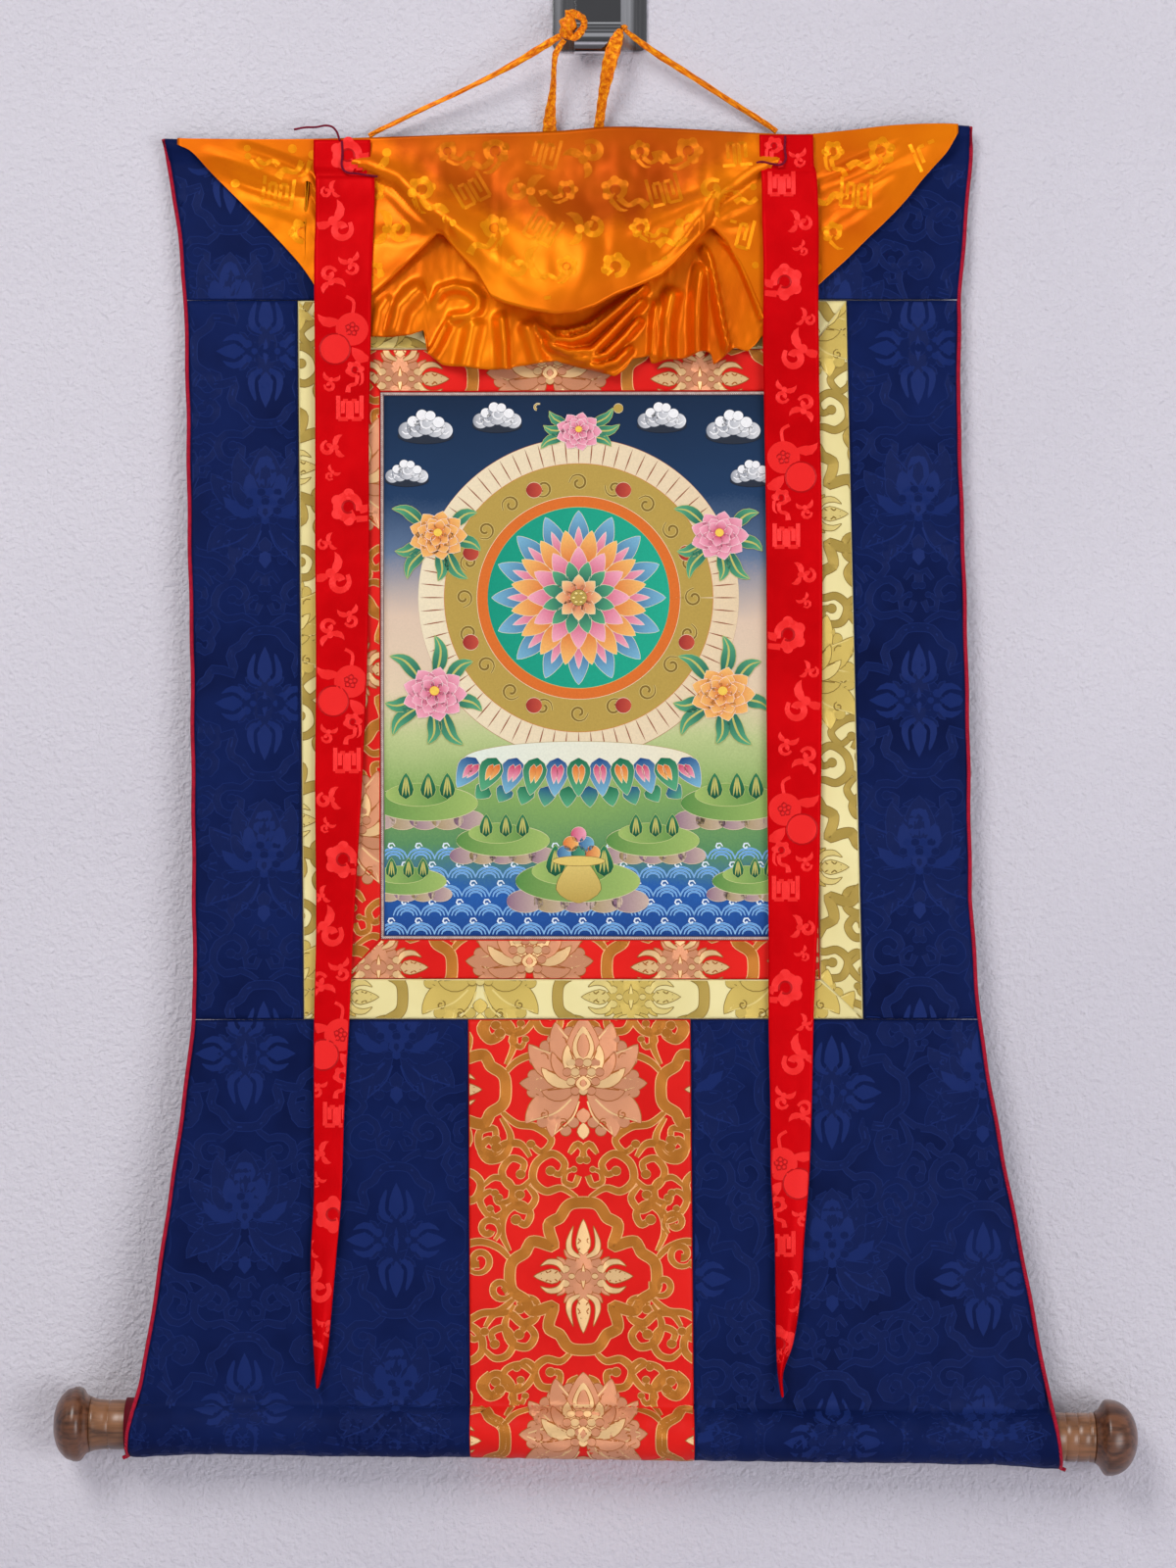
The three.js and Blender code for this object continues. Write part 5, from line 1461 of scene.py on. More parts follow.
# ---------------------------------------------------------------- roller and knobs
# A turned softwood roller in the pocket, and a knob turned from dark hardwood glued on each end. The knobs
# aren't a pair.
def turned(name, profile, finish, slot, node_name, sides=64, hollow=False):
    """Spins a profile of (distance along the axis, radius) round the roller's axis."""
    mesh = bmesh.new()
    tilt = (ROD_Z_RIGHT - ROD_Z_LEFT) / (ROD_RIGHT - ROD_LEFT)
    points = list(profile) if hollow else [(profile[0][0], 0.0)] + list(profile) + [(profile[-1][0], 0.0)]
    verts = [mesh.verts.new((x, 0, r)) for x, r in points]
    edges = [mesh.edges.new(pair) for pair in zip(verts, verts[1:] + (verts[:1] if hollow else []))]
    bmesh.ops.spin(
        mesh, geom=verts + edges, cent=(0, 0, 0), axis=(1, 0, 0), angle=math.tau, steps=sides,
        use_merge=True
    )
    bmesh.ops.remove_doubles(mesh, verts=mesh.verts, dist=1e-4)
    bmesh.ops.recalc_face_normals(mesh, faces=mesh.faces)
    for vert in mesh.verts:
        x, y, z = vert.co
        vert.co = (x - tilt * z, ROD_DEPTH + y, rod_z(x) + z)
    smooth_metres(mesh)
    return fit(made_of(name, mesh, finish), slot, node_name)


def turned_wood(name, dark, light, centre):
    material, principled = shader(
        name, Roughness=0.34, Specular_IOR_Level=0.5, Coat_Weight=0.25, Coat_Roughness=0.25
    )
    place = node(
        material, "Mapping",
        {
            "Vector": own_place(material), "Location": (-centre[0], -centre[1], -centre[2]),
            "Scale": (1.0, 5.0, 5.0)
        },
        vector_type="POINT"
    )
    wander = node(
        material, "TexNoise", {"Vector": place.outputs[0], "Scale": 14.0, "Detail": 4.0, "Distortion": 0.8}
    )
    grain = node(material, "Mapping", {"Vector": own_place(material), "Scale": (26.0, 420.0, 420.0)})
    pores = node(
        material, "TexNoise", {"Vector": grain.outputs[0], "Scale": 1.0, "Detail": 4.0, "Distortion": 0.3}
    )
    figure = maths(material, "MULTIPLY_ADD", pores.outputs["Fac"], 0.7, wander.outputs["Fac"])
    wire(material, ramp(material, figure, (0.62, dark), (1.05, light)), principled.inputs["Base Color"])
    bump(material, principled, pores.outputs["Fac"], 0.12, 0.0003)
    return material


knob_wood = turned_wood(
    "dark_turned_hardwood", paint(50, 25, 13), paint(116, 72, 46), (-0.33, -0.0248, -0.913)
)
roller_wood = turned_wood("roller_hardwood", paint(58, 32, 16), paint(140, 94, 60), (0.3, -0.0248, -0.921))


def groove(x, radius):
    return [
        (x - 0.9, radius), (x - 0.4, radius - 0.4), (x, radius - 0.55), (x + 0.4, radius - 0.4),
        (x + 0.9, radius)
    ]


turned(
    "roller",
    [
        (ROD_LEFT + GAP, 17.3), (-322.5, 16.4), (-319.7, 15.9), (-316.4, 15.6), *groove(-313.1, 15.6),
        (-306, 15.6), (-299.6, 15.7), (-7.5, 15.7), (291.4, 15.6), *groove(297, 15.55),
        *groove(304.6, 15.5), *groove(312.1, 15.6), (ROD_RIGHT - 0.8, 15.9), (ROD_RIGHT - GAP, 15.5)
    ],
    roller_wood, "rod_wood", "rod",
)
turned(
    "roller_knob_left",
    [
        (ROD_LEFT, 17.4), (-327.6, 18.4), (-329.2, 20.2), (-330.2, 22), (-331.4, 23.1), (-333.4, 23.7),
        (-335.6, 23.6), (-336.6, 23.1), (-337.9, 22.7), (-339.5, 22.3), (-341, 21.2), (-343, 19.4),
        (-344.5, 17.6), (-346, 15.1), (-347, 12.6), (-348, 9.4), (-348.4, 6.5), (-348.7, 2)
    ],
    knob_wood, "knob_wood", "knob_left",
)
turned(
    "roller_knob_right",
    [
        (ROD_RIGHT, 15.4), (ROD_RIGHT + 0.6, 16.2), (317.5, 16.9), (319.3, 18.4), (320.9, 21),
        (322.3, 23.2), (323.3, 23.9), (324.4, 24.1), (327.5, 24), (329.6, 23.5), (331.6, 22.8), (334, 21.5),
        (336, 20), (338, 17.9), (339.7, 15.6), (341.2, 12.8), (342.3, 10), (343.1, 7), (343.5, 4.5),
        (343.7, 1.5)
    ],
    knob_wood, "knob_wood", "knob_right",
)

# A maroon lining shows as a cuff in the left mouth of the pocket, and one line of stitching closes the
# pocket right across.
maroon_silk = woven_silk("maroon_lining_silk", paint(72, 6, 18), paint(112, 16, 32), roughness=0.6)
turned(
    "pocket_cuff", [(-302.6, 16.1), (-302.6, 17.2), (-296, 17.3), (-290.1, 17.2), (-290.1, 16.1)],
    maroon_silk, "maroon_lining", "pocket_lining", hollow=True
)
navy_thread = twisted_thread("navy_sewing_thread", paint(6, 10, 34), paint(20, 30, 74))
seam_route, x = [], left_edge(-900) + 2
while x < right_edge(-900) - 2:
    seam_route.append((x, hung(x, seam_z(x)).y + 0.1, seam_z(x)))
    x += 7
strand("pocket_stitching", seam_route, 0.45, navy_thread, "navy_damask")


# ---------------------------------------------------------------- gathered veil
# A square of orange satin damask sewn along the top edge and drawn up on a cord, so that it falls in front
# as a pouch, turns
# back up to the cord, and falls again behind in pleats and swags. Its upper corners hang loose as single
# flaps.
# x, z of the fold, z of the cord, z of the hem, how far the fold stands out, how far the rear fall stands
# out, share folded
VEIL = (
    (-271.6, 0, 0, -92.5, 4, 4, 0), (-262.7, 0, 0, -96.9, 4, 4, 0), (-251.3, 0, 0, -109, 4, 4, 0),
    (-238.6, 0, 0, -121.7, 3.5, 3.5, 0), (-226, 0, 0, -134.3, 3.5, 3.5, 0), (-213.3, 0, 0, -147, 3, 3, 0),
    (-201.3, 0, 0, -159.7, 3, 3, 0), (-190.5, 0, 0, -172.4, 3, 3, 0),
    (-180.4, -185.7, -179.3, -188.2, 4, 2.6, 0.2), (-170.3, -188.2, -175.5, -207.2, 7, 2.6, 0.85),
    (-161.5, -187.6, -171.7, -215.4, 8, 2.6, 1), (-152.6, -185.7, -166.7, -215.8, 8.5, 2.6, 1),
    (-143.8, -182.5, -162.9, -214.2, 9, 2.8, 1), (-135, -174.9, -156.5, -212.9, 10, 3, 1),
    (-126.2, -167.9, -151.5, -211, 11.5, 3.4, 1), (-117.3, -160.3, -146.4, -208.5, 13, 4, 1),
    (-112.9, -156.5, -144.5, -218.6, 14, 4, 1), (-107.9, -152.1, -143.2, -228.1, 15, 4, 1),
    (-102.2, -152.1, -142.6, -229.4, 17, 4, 1), (-94, -160.3, -145.1, -231.3, 20, 4, 1),
    (-84.5, -169.8, -147.7, -233.2, 23, 4.5, 1), (-74.4, -181.2, -150.2, -234.7, 26, 5, 1),
    (-64.3, -192, -152.1, -235.7, 29, 5, 1), (-58, -195.2, -153.4, -235.7, 30, 5, 1),
    (-51.1, -197.7, -154, -233.2, 31, 5, 1), (-42.2, -200.2, -154.6, -232.5, 32, 5, 1),
    (-34, -202.1, -155.3, -231.3, 33, 5, 1), (-25.2, -203.4, -155.3, -231.3, 33, 5, 1),
    (-15.1, -202.5, -155.3, -233.8, 33, 5, 1), (-6.3, -199.6, -154.6, -236.3, 32, 5, 1),
    (1.9, -195.2, -154, -238.9, 31, 5, 1), (10.1, -190.7, -153.4, -240.4, 30, 5, 1),
    (17.7, -187.6, -152.1, -236.3, 28, 5, 1), (24.6, -184.4, -151.5, -228.7, 27, 4.5, 1),
    (32.2, -180.6, -150.2, -230, 25, 4, 1), (39.8, -176.2, -148.9, -230.3, 23, 4, 1),
    (48, -168.6, -147.7, -228.4, 21, 4, 1), (56.2, -159.7, -146.4, -226.8, 19, 4, 1),
    (63.2, -152.1, -145.1, -224.9, 17, 4, 1), (68.2, -147.7, -141.3, -224.3, 15, 3.6, 1),
    (72.6, -147, -140, -231.3, 14, 3.6, 1), (78.9, -154.6, -142.6, -228.7, 12.5, 3.4, 1),
    (85.2, -164.8, -150.2, -226.5, 11, 3, 1), (91.5, -176.2, -159.1, -224.6, 10, 3, 1),
    (98.5, -188.2, -170.5, -221.1, 9, 3, 1), (106, -196.4, -180.6, -214.2, 8.5, 2.8, 1),
    (114.8, -199.6, -185.7, -209.1, 7.5, 2.6, 0.9), (123.7, -195.8, -186.9, -200.2, 5, 2.6, 0.5),
    (132.5, 0, 0, -190.7, 3.4, 2.6, 0), (145.2, 0, 0, -178.7, 3, 3, 0), (159.1, 0, 0, -166, 3, 3, 0),
    (171.7, 0, 0, -153.4, 3.5, 3.5, 0), (185, 0, 0, -140.7, 3.5, 3.5, 0), (197, 0, 0, -128, 4, 4, 0),
    (207.2, 0, 0, -115.3, 4, 4, 0), (216.7, 0, 0, -104.5, 4, 4, 0), (223.6, 0, 0, -96.9, 4, 4, 0),
    (230.6, 0, 0, -84.8, 4, 4, 0),
)
# millimetres for a pixel of the photo at the wall plate, and from there to the camera
PIXEL, CAMERA_AWAY = 0.628, 2200
# the veil is nearer the camera, so its pixels are smaller
VEIL_NEARER = (CAMERA_AWAY + 20 - 28) / CAMERA_AWAY
PHOTO_X, PHOTO_Z = (600 - 612) * PIXEL, (5 - 800) * PIXEL - 4.4  # the middle of the photo, from the origin


def seen(*pixels):
    """Points of the veil in millimetres, x and z, from where each was read in the photo, in pixels."""
    return tuple(
        (
            round(PHOTO_X + (x - 600) * PIXEL * VEIL_NEARER, 1),
            round(PHOTO_Z + (800 - y) * PIXEL * VEIL_NEARER, 1)
        )
        for x, y in pixels
    )


# lines along which the veil folds: the two edges of the pouch, its foot, and the hem
POUCH_LEFT = seen((372, 172), (382, 178), (400, 187), (420, 208), (446, 237), (455, 246))
POUCH_RIGHT = seen((716, 242), (724, 231), (731, 218), (738, 204), (757, 190), (775, 176), (785, 170))
FOLD = seen(
    (320, 312), (350, 304), (380, 298), (400, 281), (420, 262), (440, 243), (446, 237), (452, 239),
    (466, 257), (487, 280), (501, 305), (516, 312), (540, 319), (567, 324), (589, 322), (608, 315),
    (627, 304), (657, 291), (675, 282), (688, 270), (713, 242), (724, 232), (728, 231), (742, 246),
    (754, 266), (765, 291), (778, 320), (790, 325), (815, 326), (830, 318)
)
HEM = seen(
    (320, 330), (340, 338), (360, 341), (380, 341), (400, 342), (418, 339), (433, 333.5), (434.5, 358),
    (440, 362), (451, 370), (475, 373), (497, 375), (519, 376), (522, 374), (524, 372), (545, 370),
    (568, 366), (572, 368), (597, 375), (628, 382), (638, 375), (646, 364), (663, 361), (665.5, 369),
    (680, 366), (700, 363), (720, 356), (726, 357), (729, 370), (740, 361), (751, 352), (757, 354),
    (764, 356), (772, 349), (778, 341), (800, 328)
)
# ridges of the rear fall: the line of the ridge, its half width, its height, and the side that falls away
# steeply
FOLDS = (
    (seen((436, 284), (420, 298), (408, 312), (402, 334)), 6, 6.5, 0),
    (seen((398, 296), (388, 315), (384, 338)), 4, 3, 0),
    (
        seen(
            (444, 318), (443, 304), (450, 294), (463, 290), (478, 293), (488, 302), (487, 313), (478, 320),
            (462, 322)
        ),
        3.4, 6.5, 0
    ),
    (seen((458, 322), (450, 336), (442, 352), (436, 360)), 4, 7.5, -1),
    (seen((486, 318), (480, 345), (474, 372)), 5.5, 5.5, 0),
    (seen((512, 312), (515, 340), (517, 376)), 5.5, 8, 1),
    (seen((536, 322), (543, 345), (550, 368)), 5, 4.5, 0),
    (
        seen(
            (540, 318), (553, 334), (566, 345), (583, 347), (600, 341), (621, 324), (640, 308), (657, 292)
        ),
        3, 13, 0
    ),
    (seen((560, 334), (578, 338), (600, 332), (622, 316), (645, 300)), 2.2, 11, 0),
    (seen((549, 338), (562, 352), (580, 359), (605, 358), (622, 341), (640, 322), (655, 306)), 2.8, 12, 0),
    (seen((572, 362), (595, 366), (618, 362), (636, 345), (652, 326)), 2.6, 10.5, 0),
    (seen((592, 370), (612, 374), (630, 368), (642, 356)), 2.4, 9, 0),
    (seen((690, 288), (685, 305), (681, 325), (680, 362)), 5, 8.5, 0),
    (seen((672, 300), (668, 330), (666, 360)), 2.6, 5, 0),
    (seen((719, 262), (715, 285), (712, 310), (712, 360)), 4.6, 9, 0),
    (seen((716, 244), (725, 259), (731, 286), (737, 320), (744, 352)), 3.6, 11, 1),
    (seen((728, 233), (744, 248), (756, 268), (766, 292), (778, 322)), 4, 6.5, -1)
)
# shallow ridges and hollows in the pouch and the two flaps, the same way
DRAGS = (
    (((-146, -116), (-121, -133), (-98, -158), (-80, -178), (-68, -196)), 4, 1.6, 0),
    (((-120, -121), (-84, -150), (-56, -176), (-40, -196)), 9, 1.5, 0),
    (((-60, -112), (-30, -142), (-4, -176)), 14, 1.6, 0), (((80, -121), (40, -142), (10, -160)), 7, 2.0, 0),
    (((70, -131), (44, -156), (18, -172)), 7, -1.6, 0), (((66, -146), (46, -166), (22, -184)), 5, 1.4, 0),
    (((92, -113), (60, -124), (20, -132)), 8, -1.5, 0), (((-20, -126), (-6, -160), (-12, -196)), 9, 1.1, 0),
    (((-179, -113), (-202, -103), (-228, -94)), 4, -2.2, 0),
    (((-178, -128), (-206, -125), (-228, -118), (-244, -112)), 4, -1.8, 0),
    (((-178, -120), (-210, -113), (-250, -98)), 5, 1.6, 0),
    (((-180, -142), (-205, -134), (-230, -126)), 6, 1.2, 0),
    (((139, -116), (165, -104), (192, -92)), 4, -2.2, 0),
    (((141, -133), (165, -123), (186, -112)), 4, -2.0, 0),
    (((140, -124), (168, -112), (206, -96)), 5, 1.8, 0),
    (((141, -150), (160, -138), (182, -126)), 6, 1.3, 0),
    (((-136, -126), (-118, -144), (-108, -152)), 5, 1.8, -1),
    (((-146, -150), (-128, -152), (-110, -152)), 6, -1.6, 0),
    (((100, -128), (84, -136), (76, -142)), 3.5, 1.8, 0),
    (((103, -140), (88, -146), (76, -147)), 3.5, 1.4, 0),
)


def beside(line, x, z):
    """How far along a line the nearest point is, 0..1, and how far to its left a point lies."""
    best = (1e9, 0.0, 1.0)
    for k, ((ax, az), (bx, bz)) in enumerate(zip(line, line[1:])):
        dx, dz = bx - ax, bz - az
        long2 = dx * dx + dz * dz
        t = clamp(((x - ax) * dx + (z - az) * dz) / long2)
        away2 = (x - ax - dx * t) ** 2 + (z - az - dz * t) ** 2
        if away2 < best[0]:
            best = (away2, (k + t) / (len(line) - 1), 1.0 if dx * (z - az) - dz * (x - ax) > 0 else -1.0)
    return best[1], math.sqrt(best[0]) * best[2]


def boxed(folds, wider=1.0):
    """The same folds with the box each one can reach."""
    folds = [(line, half * wider, high, side) for line, half, high, side in folds]
    return [
        (
            line, half, high, side, min(p[0] for p in line) - abs(half),
            max(p[0] for p in line) + abs(half), min(p[1] for p in line) - abs(half),
            max(p[1] for p in line) + abs(half)
        )
        for line, half, high, side in folds
    ]


def ridges(folds, x, z, add=False):
    total = 0.0
    for line, half, high, side, x0, x1, z0, z1 in folds:
        if not (x0 < x < x1 and z0 < z < z1):
            continue
        run, away = beside(line, x, z)
        reach = half * 0.32 if side and away * side > 0 else half
        if abs(away) < reach:
            height = (
                high * math.cos(away / reach * math.pi / 2) ** 2
                * (ease(run / 0.22) if not add else math.sin(math.pi * clamp(0.08 + 0.84 * run)))
            )
            total += height if add else height**3
    return total if add else total ** (1 / 3)


REAR, FRONT = boxed(FOLDS, 1.7), boxed(DRAGS, 1.25)


def pouch_edge(x, z):
    """The pouch stands proud of the flap that it is drawn over, with a rounded edge on both sides."""
    step = 0.0
    for line in (POUCH_LEFT, POUCH_RIGHT):
        if min(p[0] for p in line) - 34 < x < max(p[0] for p in line) + 34:
            run, away = beside(line, x, z)
            if away > 0:
                step = max(step, 6.5 * (1 - math.exp(-away / 2.6)) * math.exp(-max(0.0, away - 8) / 10))
    return step


def veil_lines(x):
    """At x: heights of top, fold, cord and hem, how far fold and rear stand out, and the share gathered."""
    fold, cord, hem, out, rear, share = (flow(VEIL, x, c) for c in range(1, 7))
    if FOLD[0][0] + 12 < x < FOLD[-1][0] - 12:
        fold = read(FOLD, x)
    if HEM[0][0] + 12 < x < HEM[-1][0] - 12:
        hem = read(HEM, x)
    return top_edge(x) - 0.4, fold, cord, hem, out, rear, clamp(share)


def veil_point(x, t):
    """A point of the veil's front face at x, for t from 0 at the sewn edge to 1 at the hem."""
    top, fold, cord, hem, out, rear, share = veil_lines(x)
    start = HEM_FRONT - 1.1
    z = mix(top, hem, t)
    wrinkle = 0.5 * noise.noise((x / 18, 0, z / 26)) + 0.25 * noise.noise((x / 7, 4, z / 9))
    flat = Vector((
        mix(
            start, cloth_front(x, z) - 3.4 - wrinkle, ease((top - z - HEM_HEIGHT - 1) / 16)
        ) - ridges(FRONT, x, z, add=True),
        z
    ))
    if share < 0.01:
        return Vector((x, flat.x - 0.6, z))
    k = t * 15
    if k <= 5:
        s = k / 5
        z = mix(top, fold + 2.2, s)
        wrinkle = 0.6 * noise.noise((x / 22, 0, z / 20)) + 0.3 * noise.noise((x / 8, 4, z / 8))
        proud = (
            (pouch_edge(x, z) + wrinkle) * ease(s * 4)
            * (1 - ease((k - 4.0) / 1.0) * (1 if POUCH_LEFT[-1][0] < x < POUCH_RIGHT[0][0] else 0.35))
        )
        # it hangs steep under the edge and swells out lower down
        sag = mix(ease(s * 1.6) * 0.3, 1.0, ease((s - 0.2) / 0.72))
        here = Vector((
            mix(
                start, cloth_front(x, z) - out, sag
            ) - ridges(FRONT, x, z, add=True) * (1 - ease((k - 4.4) / 0.6)) - proud,
            z
        ))
    elif k <= 7:
        turn = (k - 5) / 2 * math.pi * 0.8
        here = Vector((
            cloth_front(x, fold) - out + 2.0 * (1 - math.cos(turn)), fold + 2.2 - 2.2 * math.sin(turn)
        ))
    elif k <= 9.4:
        s = (k - 7) / 2.4
        here = Vector((
            mix(cloth_front(x, fold) - out + 3.6, cloth_front(x, cord) - rear - 3.2, s),
            mix(fold + 0.9, cord, s)
        ))
    elif k < 10.6:
        s = (k - 9.4) / 1.2
        here = Vector((
            mix(cloth_front(x, cord) - rear - 3.2, cloth_front(x, cord) - rear, s),
            cord + 0.9 * math.sin(math.pi * s)
        ))
    else:
        z = mix(cord, hem, (k - 10.6) / 4.4)
        wrinkle = 0.5 * noise.noise((x / 9, 2, z / 14)) + 0.3 * noise.noise((x / 4, 7, z / 9))
        here = Vector((cloth_front(x, z) - rear - 1.2 - wrinkle - ridges(REAR, x, z), z))
    here = flat.lerp(here, share)
    return Vector((x, here.x - 0.6, here.y))


VEIL_LEFT, VEIL_RIGHT = VEIL[0][0], VEIL[-1][0]
# more of the cloth's columns in the gathered middle
SPREAD = ((0.0, VEIL_LEFT), (0.12, -186.0), (0.88, 140.0), (1.0, VEIL_RIGHT))
# and more of its rows in what shows
RUN = ((0.0, 0.0), (0.40, 5.0), (0.50, 7.0), (0.55, 9.4), (0.60, 10.6), (1.0, 15.0))


def veil_cloth(u, w):
    return veil_point(read(SPREAD, u), read(RUN, w) / 15)


def paint_shade_on_satin(material):
    """Paints shade into the satin's colour: multiplied down towards brown over the upper middle of the veil,
    under the top edge and above a shallow curve with a blotchy edge.
    """
    principled = material.node_tree.nodes["Principled BSDF"]
    dyed = principled.inputs["Base Color"].links[0].from_socket
    place = own_place(material)
    axes = node(material, "SeparateXYZ", {0: place})
    blotch = node(material, "TexNoise", {"Vector": place, "Scale": 60.0, "Detail": 4.0, "Roughness": 0.6})
    off = maths(material, "ADD", axes.outputs["X"], 0.021)
    square = maths(material, "MULTIPLY", off, off)
    curve = maths(material, "MULTIPLY_ADD", square, -4.4, axes.outputs["Z"])
    rough_edge = maths(material, "MULTIPLY_ADD", blotch.outputs["Fac"], 0.03, curve)
    dull = remap(material, rough_edge, start=-0.142, end=-0.126)
    # painted shade: above the curve the colour is multiplied by a dull brown
    shade = blend(material, dull, (1, 1, 1, 1), (0.66, 0.5, 0.3, 1))
    satin_with_painted_shade = blend(material, 1.0, dyed, shade, "MULTIPLY")
    wire(material, satin_with_painted_shade, principled.inputs["Base Color"])
    return material


satin = woven_silk(
    "orange_satin_damask", paint(206, 74, 0), paint(244, 132, 2), roughness=0.36, sheen=0.02, mottling=9.0,
    metal=0.5
)
# painted shade on the upper middle of the veil
paint_shade_on_satin(satin)
veil = lay_cloth("veil_satin", 290, 120, veil_cloth, satin, "yellow_satin", ["veil"], thick=0.9)


# Frets, fruit, clouds and sprigs woven into the satin and the ribbons; their colour, a little brighter than
# the ground's, is painted sheen of the floats.
def fret(size, dye, seam, width=0.09):
    """A square key pattern: two hooked squares, back to back."""
    s = size / 2
    hook = [
        (-s, s), (-s, -s), (-s * 0.16, -s), (-s * 0.16, s * 0.55), (-s * 0.6, s * 0.55),
        (-s * 0.6, -s * 0.5)
    ]
    lines = []
    for mirror in (1, -1):
        lines += moved(
            [float_line([a, b], [size * width] * 2, dye, dye, step=2.5) for a, b in zip(hook, hook[1:])], 0,
            0, mirror=mirror
        )
    return lines


def fruit(size, dye, seam):
    """Two round fruit with a small blossom on one, and a leaf."""
    lines = [
        disc((0, 0), size * 0.5, dye, dye, layer=1),
        disc((-size * 0.62, -size * 0.5), size * 0.44, dye, dye, layer=3),
        hoop((-size * 0.62, -size * 0.5), size * 0.46, size * 0.03, seam, seam, 2, sides=16)
    ]
    lines += [
        hoop(
            (size * 0.13 * math.cos(a), size * 0.13 * math.sin(a)), size * 0.08, size * 0.025, seam, seam,
            3, sides=8
        )
        for a in (0, 1.26, 2.51, 3.77, 5.03)
    ]
    lines += [
        leaf(
            (-size * 0.3, size * 0.3), (-size * 0.95, size * 0.62), size * 0.16, dye, dye, layer=2, bend=0.2
        ),
        leaf((-size * 0.1, -size * 0.55), (size * 0.45, -size * 0.95), size * 0.18, dye, dye, bend=-0.2)
    ]
    return (
        lines
        + [
            float_line(
                [(size * 0.1, size * 0.45), (size * 0.2, size * 0.8), (0, size)], [size * 0.05] * 2, dye,
                dye
            )
        ]
    )


def damask_cloud(size, dye, seam):
    """A lobed cloud round an open ring, with a wavering tail."""
    lines = [curl((0, 0), size * 0.34, -80, 0.92, size * 0.15, dye, dye, grow=0.9)]
    lines += [
        disc((size * 0.4 * math.cos(a), size * 0.4 * math.sin(a)), size * 0.17, dye, dye)
        for a in (0.5, 1.57, 2.64, 3.7)
    ]
    lines += [curl((0, 0), size * 0.2, -80, 0.9, size * 0.03, seam, seam, layer=2, grow=0.9)]
    lines += [
        float_line(
            [
                (size * 0.1, -size * 0.34), (size * 0.45, -size * 0.66), (size * 0.85, -size * 0.5),
                (size * 1.15, -size * 0.74)
            ],
            [size * 0.13, size * 0.1, size * 0.12, size * 0.16], dye, dye, layer=1
        )
    ]
    return (
        lines
        + [
            float_line(
                [(-size * 0.2, -size * 0.4), (size * 0.1, -size * 0.8), (size * 0.4, -size * 0.86)],
                [size * 0.1, size * 0.08, size * 0.02], dye, dye
            )
        ]
    )


def sprig(size, dye, seam):
    """A curled tendril with two leaves."""
    lines = [
        curl((0, 0), size * 0.36, 80, 1.05, size * 0.11, dye, dye, grow=0.3),
        disc((size * 0.38, -size * 0.1), size * 0.15, dye, dye, layer=1)
    ]
    return (
        lines
        + [
            leaf((size * 0.3, -size * 0.1), (size * 0.9, size * 0.36), size * 0.15, dye, dye, bend=0.2),
            leaf((size * 0.35, -size * 0.15), (size * 0.66, -size * 0.66), size * 0.14, dye, dye, bend=-0.2)
        ]
    )


def on_veil(x, z, lift):
    """The place on the front face of the veil at that x and z."""
    top, fold, cord, hem, out, rear, share = veil_lines(x)
    t = min(
        1.0 if share < 0.01 else 1 / 3,
        clamp((top - z) / ((1 - share) * (top - hem) + 3 * share * (top - fold - 2.2)))
    )
    here, over, down = veil_point(x, t), veil_point(x + 0.6, t), veil_point(x, t + 0.008)
    return here + (down - here).cross(over - here).normalized() * lift


# painted sheen: the satin's figures are coloured lighter than its ground
SATIN_LIT, SATIN_SEAM = paint(248, 148, 6), paint(226, 108, 2)
# the woven figures get the same painted shade as the satin
satin_float = paint_shade_on_satin(
    figure_thread("satin_figure_thread", roughness=0.36, metal=0.5, outline=0.3, rib=1.4, depth=0.3)
)
veil_figures = []
for row in range(5):
    for column in range(17):
        cx, cz = -284 + column * 31 + (row % 2) * 15, -97 - row * 26
        made = (
            fret(19, SATIN_LIT, SATIN_SEAM, 0.06), damask_cloud(17, SATIN_LIT, SATIN_SEAM),
            damask_cloud(13, SATIN_LIT, SATIN_SEAM), sprig(20, SATIN_LIT, SATIN_SEAM)
        )[(column * 3 + row * 2) % 4]
        veil_figures += moved(
            made, cx, cz, turn=(8, -14, 25, -30, 4)[(column * 2 + row) % 5], mirror=(-1) ** (column + row)
        )


def shows_on_veil(x, z):
    if x < VEIL_LEFT + 6 or x > VEIL_RIGHT - 6 or -181 < x < -150 or 102 < x < 134:
        return False
    foot = read(FOLD, x) + 7 if FOLD[0][0] < x < FOLD[-1][0] else flow(VEIL, x, 3) + 5
    return foot < z < top_edge(x) - 6


weave_figures(
    "veil_damask", [line for line in veil_figures if all(shows_on_veil(p.x, p.y) for p in line["spine"])],
    on_veil, satin_float, "yellow_satin", puff=0.02, lift=0.1, layer_step=0.02
)


